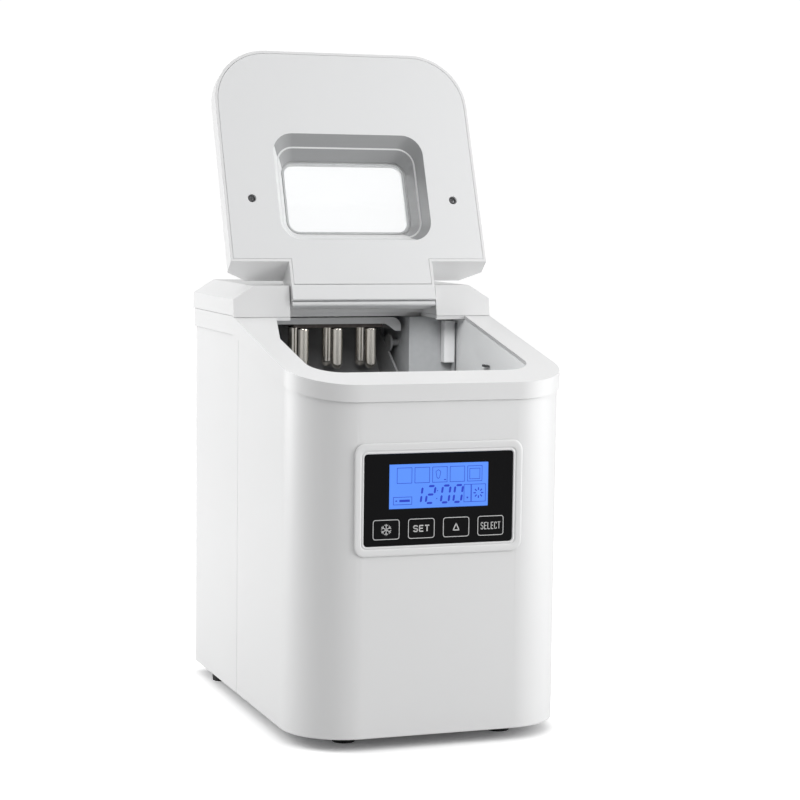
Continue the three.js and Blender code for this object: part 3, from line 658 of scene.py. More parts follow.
# ------------------------------------------------------------------ making meshes
def shown(
    name: str, bm: bmesh.types.BMesh, finish: Finish, body: Body,
    smooth: bool = True,
) -> bpy.types.Object:
    """Turn finished mesh data into a piece that rides on a body.

    Args:
        name: the piece's name.
        bm: its mesh data, which is freed here.
        finish: its finish.
        body: the body it rides on.
        smooth: whether its faces are shaded smooth.

    Returns:
        The new piece.
    """
    bmesh.ops.recalc_face_normals(bm, faces=bm.faces)
    for face in bm.faces:
        face.smooth = smooth
    mesh = bpy.data.meshes.new(name)
    bm.to_mesh(mesh)
    bm.free()
    mesh.materials.append(finish.material())
    piece = bpy.data.objects.new(name, mesh)
    bpy.context.scene.collection.objects.link(piece)
    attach(piece, body.value)
    LOG.info("piece %s on %s", name, body.value)
    return piece


def soften(piece: bpy.types.Object, width: float, segments: int = 2, angle: float = 30.0) -> None:
    """Round a piece's hard edges and even out its shading.

    Args:
        piece: the piece.
        width: the width of the rounding, in metres.
        segments: how many steps the rounding has.
        angle: the least angle between two faces that is rounded, in degrees.
    """
    bevel = piece.modifiers.new("rounded_edges", "BEVEL")
    bevel.width = width
    bevel.segments = segments
    bevel.limit_method = "ANGLE"
    bevel.angle_limit = math.radians(angle)
    bevel.use_clamp_overlap = True
    bevel.miter_outer = "MITER_ARC"
    even = piece.modifiers.new("even_shading", "WEIGHTED_NORMAL")
    even.keep_sharp = False
    even.weight = 80


MERGE_DISTANCE = 0.01 * MM
NO_LENGTH = 0.001 * MM
FLAT_WITHIN = math.radians(0.6)


@dataclass(frozen=True)
class Moulding:
    """A node rebuilt as a clean moulding with flat faces merged and its edges rounded.

    Attributes:
        node: the node that the piece stands for.
        finish: its finish.
        body: the body it rides on.
        width: the width of the rounding, in metres.
        segments: how many steps the rounding has.
        angle: the least angle between two faces that is rounded, in degrees.
        name: the piece's name, where it isn't the node's name and moulded.
    """

    node: str
    finish: Finish
    body: Body
    width: float
    segments: int = 2
    angle: float = 30.0
    name: str = ""

    def build(self) -> bpy.types.Object:
        """Build the piece.

        Returns:
            The new piece, which replaces the node.
        """
        bm = bmesh.new()
        bm.from_mesh(frame["nodes"][self.node].data)
        for layer in list(bm.loops.layers.uv.values()):
            bm.loops.layers.uv.remove(layer)
        bmesh.ops.remove_doubles(bm, verts=bm.verts, dist=MERGE_DISTANCE)
        bmesh.ops.dissolve_degenerate(bm, dist=NO_LENGTH, edges=bm.edges)
        bmesh.ops.dissolve_limit(bm, angle_limit=FLAT_WITHIN, verts=bm.verts, edges=bm.edges)
        bmesh.ops.connect_verts_concave(bm, faces=bm.faces)
        piece = shown(self.name or self.node + "_moulded", bm, self.finish, self.body)
        leftover = piece.data.attributes.get("custom_normal")
        if leftover:
            piece.data.attributes.remove(leftover)
        soften(piece, self.width, self.segments, self.angle)
        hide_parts(self.node)
        return piece


def dress(node: str, finish: Finish) -> None:
    """Give a node that stays a finish of its own.

    Args:
        node: the node's name.
        finish: the finish for all its faces.
    """
    piece = frame["nodes"][node]
    for place in range(len(piece.data.materials)):
        piece.data.materials[place] = finish.material()


def ring_round(
    x0: float, x1: float, z0: float, z1: float, radius: float, steps: int = 10
) -> list[Point2]:
    """Return the outline of a rectangle with round corners, anticlockwise.

    Args:
        x0: left side.
        x1: right side.
        z0: lower side.
        z1: upper side.
        radius: the corners' radius.
        steps: points in each corner, less one.

    Returns:
        The outline's points.
    """
    points: list[Point2] = []
    centres = (
        (x1 - radius, z1 - radius, 0.0), (x0 + radius, z1 - radius, 90.0),
        (x0 + radius, z0 + radius, 180.0), (x1 - radius, z0 + radius, 270.0),
    )
    for cx, cz, start in centres:
        for step in range(steps + 1):
            turn = math.radians(start + 90.0 * step / steps)
            points.append((cx + radius * math.cos(turn), cz + radius * math.sin(turn)))
    return points


def loft(
    rings: list[list[Point3]], closed_ends: bool = True, closed_loop: bool = False
) -> bmesh.types.BMesh:
    """Skin a list of closed rings that have the same number of points.

    Args:
        rings: the rings, in order, in metres.
        closed_ends: whether the first and last rings are capped.
        closed_loop: whether the last ring joins the first.

    Returns:
        The mesh data.
    """
    bm = bmesh.new()
    rows = [[bm.verts.new(point) for point in ring] for ring in rings]
    pairs = list(zip(rows, rows[1:])) + ([(rows[-1], rows[0])] if closed_loop else [])
    for low, high in pairs:
        for i, corner in enumerate(low):
            after = (i + 1) % len(low)
            bm.faces.new((corner, low[after], high[after], high[i]))
    if closed_ends and not closed_loop:
        bm.faces.new(rows[0])
        bm.faces.new(rows[-1])
    return bm


def plates(outlines: list[list[Point2]], back: float, front: float) -> bmesh.types.BMesh:
    """Make thin upright plates from outlines in X and Z.

    Args:
        outlines: closed outlines, in metres.
        back: the plates' rear face in Y.
        front: the plates' front face in Y.

    Returns:
        The mesh data of all the plates.
    """
    bm = bmesh.new()
    for outline in outlines:
        rear = [bm.verts.new((x, back, z)) for x, z in outline]
        near = [bm.verts.new((x, front, z)) for x, z in outline]
        bm.faces.new(rear)
        bm.faces.new(near)
        for i, corner in enumerate(rear):
            after = (i + 1) % len(rear)
            bm.faces.new((corner, rear[after], near[after], near[i]))
    return bm


def turned(
    profile: list[Point2], origin: Point3, axis: Vector, sides: int = 48
) -> bmesh.types.BMesh:
    """Turn a profile round an axis.

    Args:
        profile: radius and height pairs, from one end to the other, in metres.
        origin: the point at height 0.
        axis: the direction of the axis.
        sides: steps round the axis.

    Returns:
        The mesh data.
    """
    turn = Vector((0.0, 0.0, 1.0)).rotation_difference(axis.normalized()).to_matrix()
    rings = []
    for radius, height in profile:
        ring = []
        for i in range(sides):
            angle = 2.0 * math.pi * i / sides
            spot = turn @ Vector(
                (radius * math.cos(angle), radius * math.sin(angle), height)
            ) + Vector(origin)
            ring.append(tuple(spot))
        rings.append(ring)
    return loft(rings)


def brick(low: Point3, high: Point3) -> bmesh.types.BMesh:
    """Return a block between two corners, for pieces whose edges are then rounded.

    Args:
        low: the lowest corner.
        high: the highest corner.

    Returns:
        The mesh data.
    """
    (x0, y0, z0), (x1, y1, z1) = low, high
    rings = [[(x0, y0, z), (x1, y0, z), (x1, y1, z), (x0, y1, z)] for z in (z0, z1)]
    return loft(rings)


# ------------------------------------------------------------------ studio
@dataclass(frozen=True)
class Lamp:
    """One soft lamp of the studio."""

    name: str
    spot: Point3
    aim: Point3
    width: float
    height: float
    power: float
    lights_only: tuple[str, ...] = ()

    def hang(self) -> None:
        """Hang the lamp, turn it to its aim and list the pieces it lights, if not all."""
        data = bpy.data.lights.new(self.name, "AREA")
        data.shape = "RECTANGLE"
        data.size, data.size_y = self.width, self.height
        data.energy = self.power
        lamp = bpy.data.objects.new(self.name, data)
        bpy.context.scene.collection.objects.link(lamp)
        lamp.location = self.spot
        lamp.rotation_euler = (
            Vector(self.aim) - Vector(self.spot)
        ).to_track_quat("-Z", "Y").to_euler()
        lamp.visible_camera = False
        if self.lights_only:
            lit = bpy.data.collections.new(self.name + "_lights")
            for piece in bpy.context.scene.objects:
                if piece.name.startswith(self.lights_only):
                    lit.objects.link(piece)
            lamp.light_linking.receiver_collection = lit


INSIDE = (
    "inner_liner", "evaporator", "ice_finger", "water_tray", "tray_motor", "water_inlet",
    "ice_pusher", "ice_sensor", "liner_",
)


@dataclass
class Studio:
    """The floor, the lights and the camera."""

    lens: float = 98.587
    stand: Point3 = (-0.624631, -1.794967, 0.447185)
    yaw: float = 19.863
    pitch: float = 5.424
    roll: float = 0.710
    floor_half: float = 60.0
    floor_seen: float = 1.12
    floor_bounce: float = 0.52
    floor_lift: float = 0.035
    sky_low: float = 0.24
    sky_high: float = 1.12
    sky_seen: float = 1.05
    lamps: tuple[Lamp, ...] = (
        Lamp("lamp_left", (-1.2, 0.8, 0.6), (-0.1, 0.05, 0.28), 0.9, 1.1, 14.4),
        Lamp("lamp_right", (1.0, -0.40, 0.45), (0.0, -0.16, 0.3), 0.7, 0.8, 4.0),
        Lamp("lamp_front", (1.9, -1.5, 0.8), (0.0, 0.0, 0.3), 1.2, 1.2, 20.0),
        Lamp("lamp_inside", (-0.35, -0.75, 0.95), (0.0, 0.08, 0.30), 0.5, 0.5, 9.0, INSIDE),
    )

    def build(self) -> None:
        """Build the floor, the sky light, the lamps and the camera."""
        self._floor()
        self._sky()
        for lamp in self.lamps:
            lamp.hang()
        self._camera()

    def _floor(self) -> None:
        """Lay a pale, faintly mottled floor that runs to the horizon."""
        half = self.floor_half
        bm = bmesh.new()
        bm.faces.new(
            [
                bm.verts.new((x, y, 0.0))
                for x, y in ((-half, -half), (half, -half), (half, half), (-half, half))
            ]
        )
        mesh = bpy.data.meshes.new("studio_floor")
        bm.to_mesh(mesh)
        bm.free()
        floor = bpy.data.objects.new("studio_floor", mesh)
        bpy.context.scene.collection.objects.link(floor)
        paper = bpy.data.materials.new("floor_paper")
        paper.use_nodes = True
        sheet = Sheet(paper.node_tree)
        shader = paper.node_tree.nodes["Principled BSDF"]
        seen = sheet.seen()
        tone = sheet.blend(
            seen, _with_alpha((self.floor_bounce,) * 3), _with_alpha((self.floor_seen,) * 3)
        )
        drift = EFFECTS.place(sheet, "colour_drift", {"Colour": tone, "Amount": 0.01, "Scale": 3.0})
        sheet.join(drift.outputs["Colour"], shader.inputs["Base Color"])
        shader.inputs["Emission Color"].default_value = (1.0, 1.0, 1.0, 1.0)
        sheet.join(
            sheet.maths("MULTIPLY", seen, self.floor_lift), shader.inputs["Emission Strength"]
        )
        shader.inputs["Roughness"].default_value = 0.9
        shader.inputs["Specular IOR Level"].default_value = 0.1
        mesh.materials.append(paper)

    def _sky(self) -> None:
        """Surround the scene with light that grows from the horizon to the zenith."""
        world = bpy.data.worlds.new("studio_world")
        bpy.context.scene.world = world
        world.use_nodes = True
        sheet = Sheet(world.node_tree)
        back = world.node_tree.nodes["Background"]
        back.inputs["Color"].default_value = (1.0, 1.0, 1.0, 1.0)
        parts = sheet.node("ShaderNodeSeparateXYZ")
        sheet.join(sheet.node("ShaderNodeTexCoord").outputs["Generated"], parts.inputs[0])
        rise = sheet.ramp(parts.outputs["Z"], 0.1, 0.8)
        glow = sheet.maths(
            "ADD", sheet.maths("MULTIPLY", rise, self.sky_high - self.sky_low), self.sky_low
        )
        seen = sheet.seen()
        unseen = sheet.maths("SUBTRACT", 1.0, seen)
        behind = sheet.maths("MULTIPLY", seen, self.sky_seen)
        sheet.join(
            sheet.maths("ADD", sheet.maths("MULTIPLY", glow, unseen), behind),
            back.inputs["Strength"],
        )

    def _camera(self) -> None:
        """Place the camera on its stand."""
        yaw, pitch, roll = (math.radians(v) for v in (self.yaw, self.pitch, self.roll))
        ahead = Vector(
            (math.sin(yaw) * math.cos(pitch), math.cos(yaw) * math.cos(pitch), -math.sin(pitch))
        )
        level = Vector((math.cos(yaw), -math.sin(yaw), 0.0))
        upward = level.cross(ahead)
        right = math.cos(roll) * level + math.sin(roll) * upward
        top = -math.sin(roll) * level + math.cos(roll) * upward
        data = bpy.data.cameras.new("camera")
        data.lens = self.lens
        data.sensor_width = 36.0
        data.clip_start = 0.05
        camera = bpy.data.objects.new("camera", data)
        bpy.context.scene.collection.objects.link(camera)
        turn = Matrix((right, top, -ahead)).transposed().to_4x4()
        camera.matrix_world = Matrix.Translation(self.stand) @ turn
        bpy.context.scene.camera = camera
        bpy.context.scene.view_settings.view_transform = "Standard"


# ------------------------------------------------------------------ casing
@dataclass
class Casing:
    """The white outer shell, its feet, the drain plug and the cord's gland."""

    mouldings: tuple[Moulding, ...] = (
        Moulding("front_wrap", WHITE_SHELL, Body.CABINET, 0.7 * MM, 2, 35.0),
        Moulding("rear_shell", WHITE_SHELL, Body.CABINET, 0.5 * MM, 2, 35.0),
        Moulding("top_rim", WHITE_SHELL, Body.CABINET, 1.3 * MM, 3, 32.0),
        Moulding("rear_cover", WHITE_SHELL, Body.CABINET, 1.2 * MM, 3, 15.0),
    )

    def build(self) -> None:
        """Build the shell's mouldings."""
        for moulding in self.mouldings:
            moulding.build()

    def dress(self) -> None:
        """Give the pieces that stay their finishes."""
        dress("base_pan", ZINC)
        for name in ("foot_front_left", "foot_front_right", "foot_rear_left", "foot_rear_right"):
            dress(name, RUBBER)
        dress("power_gland", RUBBER)
        dress("drain_plug", RUBBER_WHITE)


# ------------------------------------------------------------------ lid
# Sections through the tab: millimetres up the lid from the hinge and out from it.
APRON_SECTION = ((1.0, 14.0), (1.0, 16.1), (-12.4, 16.1), (-13.0, 15.6), (-13.0, 9.0))
LIP_SECTION = (
    (-13.0, 9.0), (-13.8, 13.2), (-14.4, 13.7), (-16.4, 13.5),
    (-17.4, 12.4), (-17.6, 10.6), (-15.6, 8.6), (-13.4, 8.4),
)
# Radius and height of a screw's shank and pan head, in millimetres.
SCREW_PROFILE = (
    (0.02, -9.0), (1.4, -8.6), (1.5, -0.2), (3.2, -0.2),
    (3.2, 1.0), (2.7, 1.7), (1.7, 2.1), (0.02, 2.2),
)
# Half length and half width of each arm of the cross, then its foot and its top above the seat.
CROSS_HALF_LENGTH, CROSS_HALF_WIDTH = 1.5, 0.28
CROSS_HEIGHTS = (1.6, 2.26)


@dataclass
class Lid:
    """The raised lid with its inner panel, window and screws."""

    lean: float = 21.34
    face: float = 16.0 * MM
    recess_half: float = 71.5 * MM
    recess_low: float = 41.5 * MM
    recess_high: float = 144.0 * MM
    recess_skin: float = 0.6 * MM
    right_wall_turn: float = -0.2
    top_wall_turn: float = -0.35
    screw_xs: tuple[float, float] = (-94.2 * MM, 94.2 * MM)
    screw_depth: float = 4.0 * MM
    tab_half: float = 66.3 * MM
    tab_edge: float = 0.3 * MM
    shell: Moulding = Moulding("lid_shell", WHITE_SHELL, Body.LID, 1.2 * MM, 3, 18.0)
    panel: Moulding = Moulding(
        "lid_inner_panel", WHITE_INNER, Body.LID, 0.7 * MM, 2, 20.0, "lid_inner_moulded"
    )

    def build(self) -> None:
        """Build the lid's mouldings, its screws and its tab's apron."""
        self.shell.build()
        self._shade_recess(self.panel.build())
        for side, x in zip(("left", "right"), self.screw_xs):
            self._screw("lid_screw_" + side, x)
        self._apron()

    def _frame(self) -> tuple[Vector, Vector, Vector]:
        """Find how the raised lid stands.

        Returns:
            The hinge point, the lid's upward direction and its inner face's normal.
        """
        joint = next(j for j in frame["joints"] if j["name"] == "lid_hinge")
        lean = math.radians(self.lean)
        upward = Vector((0.0, math.sin(lean), math.cos(lean)))
        return Vector(joint["pos_m"]), upward, Vector((0.0, -math.cos(lean), math.sin(lean)))

    def _shade_recess(self, panel: bpy.types.Object) -> None:
        """Paint shade in grey on the top and right walls of the window's recess, which turn away
        from the light.

        Args:
            panel: the inner panel.
        """
        hinge, upward, normal = self._frame()
        panel.data.materials.append(RECESS_PAINTED_SHADOW.material())
        for face in panel.data.polygons:
            out = face.center - hinge
            rise, depth = out.dot(upward), out.dot(normal)
            inside = abs(out.x) < self.recess_half and self.recess_low < rise < self.recess_high
            across, down = face.normal.x, face.normal.dot(upward)
            turned_away = across < self.right_wall_turn or down < self.top_wall_turn
            if inside and turned_away and depth < self.face - self.recess_skin:
                face.material_index = 1

    def _apron(self) -> None:
        """Add the flat apron in front of the hinge barrel and the rolled lip under it."""
        hinge, upward, normal = self._frame()
        for name, outline in (("lid_tab_apron", APRON_SECTION), ("lid_tab_lip", LIP_SECTION)):
            rings = []
            for x in (-self.tab_half, self.tab_half):
                points = [hinge + (upward * rise + normal * out) * MM for rise, out in outline]
                rings.append([(x, point.y, point.z) for point in points])
            soften(shown(name, loft(rings), WHITE_INNER, Body.LID), self.tab_edge, 2)

    def _screw(self, node: str, x: float) -> None:
        """Build a pan head with a cross recess in place of a screw.

        Args:
            node: the screw's node.
            x: its place across the lid.
        """
        hinge, upward, normal = self._frame()
        low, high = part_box(node)
        middle = (low + high) / 2.0
        rise = (middle - hinge).dot(upward)
        seat = hinge + upward * rise + normal * (self.face - self.screw_depth)
        seat.x = x
        profile = [(radius * MM, height * MM) for radius, height in SCREW_PROFILE]
        head = turned(profile, tuple(seat), normal, 32)
        piece = shown(node + "_head", head, STEEL_DARK, Body.LID)
        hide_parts(node)
        side = normal.cross(upward)
        bm = bmesh.new()
        for along, across in ((upward, side), (side, upward)):
            corners = []
            for a, b in ((-1, -1), (1, -1), (1, 1), (-1, 1)):
                corners.append(
                    seat + (along * a * CROSS_HALF_LENGTH + across * b * CROSS_HALF_WIDTH) * MM
                )
            rings = [
                [bm.verts.new(c + normal * lift * MM) for c in corners] for lift in CROSS_HEIGHTS
            ]
            bm.faces.new(rings[0])
            bm.faces.new(rings[1])
            for i in range(4):
                after = (i + 1) % 4
                bm.faces.new((rings[0][i], rings[0][after], rings[1][after], rings[1][i]))
        # The cross recess is painted shadow, near-black.
        shown(node + "_cross", bm, PAINTED_SHADOW_BLACK, Body.LID, False)

    def dress(self) -> None:
        """Give the pieces that stay their finishes."""
        dress("lid_window", WINDOW_CLEAR)
        dress("hinge_pin_left", STEEL)
        dress("hinge_pin_right", STEEL)


# ------------------------------------------------------------------ ice chamber
# How far below a finger's root its brazed collar starts, is widest and ends, in millimetres.
COLLAR_DROPS = (3.0, 1.6, 0.8)
FINGER_TIP, FINGER_TIP_STEPS, FINGER_ROOT_SHARE = 0.05, 8, 0.9
# The strip and the groove in the corner, both painted shade: left, front, right and back sides in
# millimetres from the inlet's front right edge, then the rounding of their edges and its steps.
CORNER_PIECES = (
    ("liner_corner_strip", LINER_PAINTED_SHADOW, Slot.LINER, (-1.2, -3.2, 0.7, 6.0), 0.5, 3),
    ("liner_corner_groove", PAINTED_SHADOW_BLACK, None, (-1.7, -3.9, -0.6, -3.1), 0.15, 2),
)
# The level bracket's reach from its base, and its eye's two corners, in millimetres.
BRACKET_REACH, BRACKET_BACK = (3.2, 5.0, 3.2), 6.0
EYE_LOW, EYE_HIGH = (-3.6, -1.8, -1.6), (-2.9, 2.4, 1.6)


@dataclass
class IceChamber:
    """The liner, the hood with its fingers, the tray and the basket."""

    finger_count: int = 6
    finger_sides: int = 40
    collar: float = 0.1 * MM
    shade_behind: float = 58.0 * MM
    strip_foot: float = 262.0 * MM
    strip_gap: float = 2.0 * MM
    strip_shift: float = 0.3 * MM
    bracket_inset: float = 1.0 * MM
    clip_inset: float = 1.5 * MM
    wall: float = 4.2 * MM
    bracket_y: float = -6.0 * MM
    bracket_z: float = 282.0 * MM
    clip_low: Point2 = (-34.0 * MM, 296.0 * MM)
    clip_high: Point2 = (-22.0 * MM, 298.0 * MM)
    liner: Moulding = Moulding("inner_liner", LINER_PALE, Body.CABINET, 0.8 * MM)
    mouldings: tuple[Moulding, ...] = (
        Moulding(
            "evaporator_cover", HOOD_GREY, Body.CABINET, 1.1 * MM, 3, 20.0,
            "evaporator_hood_moulded",
        ),
        Moulding("water_tray", DARK_PLASTIC, Body.TRAY, 0.4 * MM),
        Moulding("ice_pusher", DARK_PLASTIC, Body.PUSHER, 0.6 * MM),
        Moulding("ice_basket", LINER_PALE, Body.BASKET, 0.5 * MM),
        Moulding("water_inlet", WHITE_INNER, Body.CABINET, 0.7 * MM),
    )

    def build(self) -> None:
        """Build the chamber's mouldings and its small fittings."""
        self._shade_rear_wall(self.liner.build())
        for moulding in self.mouldings:
            moulding.build()
        for number in range(1, self.finger_count + 1):
            self._finger(f"ice_finger_{number}")
        self._corner_strip()
        self._level_hook()

    def _shade_rear_wall(self, liner: bpy.types.Object) -> None:
        """Paint shade on the liner's rear wall and the pocket round the fingers with a darker grey
        copy of its colour.

        Args:
            liner: the liner's moulding.
        """
        liner.data.materials.append(LINER_PAINTED_SHADOW.material())
        for face in liner.data.polygons:
            if face.center.y > self.shade_behind and face.normal.y < 0.5:
                face.material_index = 1

    def _finger(self, node: str) -> None:
        """Turn a finger with a round tip and a brazed collar.

        Args:
            node: the finger's node.
        """
        low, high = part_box(node)
        radius = (high.x - low.x) / 2.0
        middle = (low + high) / 2.0
        profile = [(FINGER_TIP * MM, 0.0)]
        for step in range(1, FINGER_TIP_STEPS + 1):
            turn = math.pi / 2.0 * step / FINGER_TIP_STEPS
            profile.append((radius * math.sin(turn), radius * (1.0 - math.cos(turn))))
        length = high.z - low.z
        start, widest, end = (length - drop * MM for drop in COLLAR_DROPS)
        profile += [
            (radius, start), (radius + self.collar, widest), (radius, end),
            (radius * FINGER_ROOT_SHARE, length),
        ]
        shape = turned(
            profile, (middle.x, middle.y, low.z), Vector((0.0, 0.0, 1.0)), self.finger_sides
        )
        piece = shown(node + "_turned", shape, CHROME, Body.CABINET)
        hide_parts(node)

    def _corner_strip(self) -> None:
        """Add the upright strip in the chamber's rear right corner and the groove beside it."""
        low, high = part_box("water_inlet")
        edge, top = high.x + self.strip_shift, high.z - self.strip_gap
        for name, finish, slot, (left, front, right, back), rounding, steps in CORNER_PIECES:
            shape = brick(
                (edge + left * MM, low.y + front * MM, self.strip_foot),
                (edge + right * MM, low.y + back * MM, top),
            )
            soften(shown(name, shape, finish, Body.CABINET), rounding * MM, steps)

    def _level_hook(self) -> None:
        """Add the small bracket on the chamber's right wall, its eye and the clip near it."""
        low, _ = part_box("ice_sensor_right")
        wall = low.x + self.wall
        base = Vector((low.x - self.bracket_inset, self.bracket_y, self.bracket_z))
        block = brick(
            tuple(base - Vector(BRACKET_REACH) * MM),
            (wall, base.y + BRACKET_BACK * MM, base.z + BRACKET_REACH[2] * MM),
        )
        soften(
            shown("liner_sensor_bracket", block, LINER_PALE, Body.CABINET), 1.0 * MM, 3
        )
        # The bracket's eye and the wall clip are painted shadow, near-black.
        eye = brick(tuple(base + Vector(EYE_LOW) * MM), tuple(base + Vector(EYE_HIGH) * MM))
        soften(shown("liner_sensor_eye", eye, PAINTED_SHADOW_BLACK, Body.CABINET), 0.3 * MM, 2)
        clip = brick((low.x + self.clip_inset, *self.clip_low), (wall, *self.clip_high))
        soften(shown("liner_wall_clip", clip, PAINTED_SHADOW_BLACK, Body.CABINET), 0.4 * MM, 2)

    def dress(self) -> None:
        """Give the pieces that stay their finishes."""
        # The evaporator is painted shadow, near-black, for the shade under the hood.
        dress("evaporator", EVAPORATOR_PAINTED_SHADOW)
        for name in ("tray_motor", "pusher_motor", "ice_sensor_left", "ice_sensor_right"):
            dress(name, BLACK_PLASTIC)


# ------------------------------------------------------------------ control panel
def band(rings: tuple[list[Point2], list[Point2]], back: float, front: float) -> bmesh.types.BMesh:
    """Make a thin closed band between an outer and an inner outline.

    Args:
        rings: the outer and the inner outline, with the same number of points.
        back: the band's rear face in Y.
        front: its front face in Y.

    Returns:
        The mesh data.
    """
    outer, inner = rings
    loops = [
        [(x, y, z) for x, z in ring]
        for ring, y in ((outer, back), (outer, front), (inner, front), (inner, back))
    ]
    return loft(loops, False, True)


def stroke(points: list[Point2], width: float, ends: float = 0.0) -> list[list[Point2]]:
    """Return four-sided outlines that follow a line with the given width.

    Args:
        points: the line's corners.
        width: the line's width.
        ends: how far each stretch runs past its ends.

    Returns:
        One outline for each stretch.
    """
    outlines = []
    for (x0, z0), (x1, z1) in zip(points, points[1:]):
        along = Vector((x1 - x0, z1 - z0)).normalized()
        side = Vector((-along.y, along.x)) * width / 2.0
        start = Vector((x0, z0)) - along * ends
        stop = Vector((x1, z1)) + along * ends
        outlines.append(
            [tuple(start - side), tuple(stop - side), tuple(stop + side), tuple(start + side)]
        )
    return outlines


class Sign(Enum):
    """What is printed on a key."""

    FLAKE = "flake"
    TRIANGLE = "triangle"
    SET = "SET"
    SELECT = "SELECT"


LETTERS: dict[str, list[list[Point2]]] = {
    "S": [
        [
            (1.0, 0.84), (0.8, 1.0), (0.2, 1.0), (0.0, 0.84), (0.0, 0.66), (0.2, 0.53), (0.8, 0.47),
            (1.0, 0.34), (1.0, 0.16), (0.8, 0.0), (0.2, 0.0), (0.0, 0.16),
        ]
    ],
    "E": [[(1.0, 1.0), (0.0, 1.0), (0.0, 0.0), (1.0, 0.0)], [(0.0, 0.52), (0.85, 0.52)]],
    "T": [[(-0.05, 1.0), (1.05, 1.0)], [(0.5, 1.0), (0.5, 0.0)]],
    "L": [[(0.0, 1.0), (0.0, 0.0), (0.95, 0.0)]],
    "C": [
        [
            (1.0, 0.8), (0.8, 1.0), (0.2, 1.0), (0.0, 0.8), (0.0, 0.2), (0.2, 0.0), (0.8, 0.0),
            (1.0, 0.2),
        ]
    ],
}

SEGMENTS: dict[str, str] = {"0": "abcdef", "1": "bc", "2": "abged"}


@dataclass(frozen=True)
class Key:
    """One key: its node, its body and the sign on it."""

    node: str
    body: Body
    sign: Sign


# The bezel's section: share of the way in from its outer side, and millimetres behind its front.
BEZEL_SECTION = (
    (0.0, 1.2), (0.0, 0.75), (0.03, 0.35), (0.09, 0.1), (0.2, 0.0), (0.60, 0.0),
    (0.68, 0.12), (0.72, 0.55), (0.78, 0.6), (0.82, 0.25), (0.88, 0.08), (0.94, 0.12),
    (0.985, 0.35), (1.0, 0.7), (1.0, 6.5), (0.72, 6.5), (0.72, 1.2),
)
# The screen's row of boxes, its bulb and its digits, as shares of its width and height.
SCREEN_BOX_LEFT, SCREEN_BOX_STEP, SCREEN_BOX_WIDE = 0.075, 0.1785, 0.148
SCREEN_BOX_FOOT, SCREEN_BOX_TOP = 0.575, 0.925
SCREEN_BULB = (
    (0.477, 0.68), (0.49, 0.66), (0.503, 0.68), (0.515, 0.82),
    (0.49, 0.86), (0.465, 0.82), (0.477, 0.68),
)
SCREEN_TIME = (("1", 0.235), ("2", 0.365), ("0", 0.518), ("0", 0.645))
SCREEN_TIME_FOOT = 0.105
# The other boxes' left, right, lower and upper sides.
SCREEN_FRAMES = (
    (0.811, 0.915, 0.625, 0.865), (0.04, 0.225, 0.09, 0.26),
    (0.755, 0.825, 0.10, 0.50), (0.832, 0.975, 0.10, 0.50),
)
# Short level marks: left end, right end, height, and width in millimetres.
SCREEN_MARKS = (
    (0.548, 0.57, 0.63, 0.8), (0.06, 0.078, 0.175, 1.0), (0.1, 0.205, 0.175, 1.9),
    (0.782, 0.798, 0.2, 1.3), (0.472, 0.482, 0.2, 0.8), (0.480, 0.490, 0.38, 0.8),
)
# The burst: its hub, then its rays' inner end, outer end and width in millimetres.
BURST_HUB, BURST_RAYS = (0.903, 0.30), 8
BURST_INNER, BURST_OUTER, BURST_LINE = 2.2, 4.3, 0.95
# A word on a key: its letters' width, height, step and line, in millimetres.
WORD_SIZES = {Sign.SET: (3.1, 4.6, 4.9, 0.95), Sign.SELECT: (1.75, 5.3, 2.95, 0.62)}
TRIANGLE_CORNERS = ((-2.5, -2.5), (2.5, -2.5), (0.0, 2.9), (-2.5, -2.5))
TRIANGLE_LINE, TRIANGLE_END, LETTER_END = 0.85, 0.3, 0.12
# The snowflake's arms and the two barbs on each: where they start and end, and their lines.
FLAKE_ARM, FLAKE_ARM_LINE = (0.4, 4.6), 0.6
FLAKE_FORK, FLAKE_BARB, FLAKE_BARB_LINE = 2.7, (1.3, 1.5), 0.5


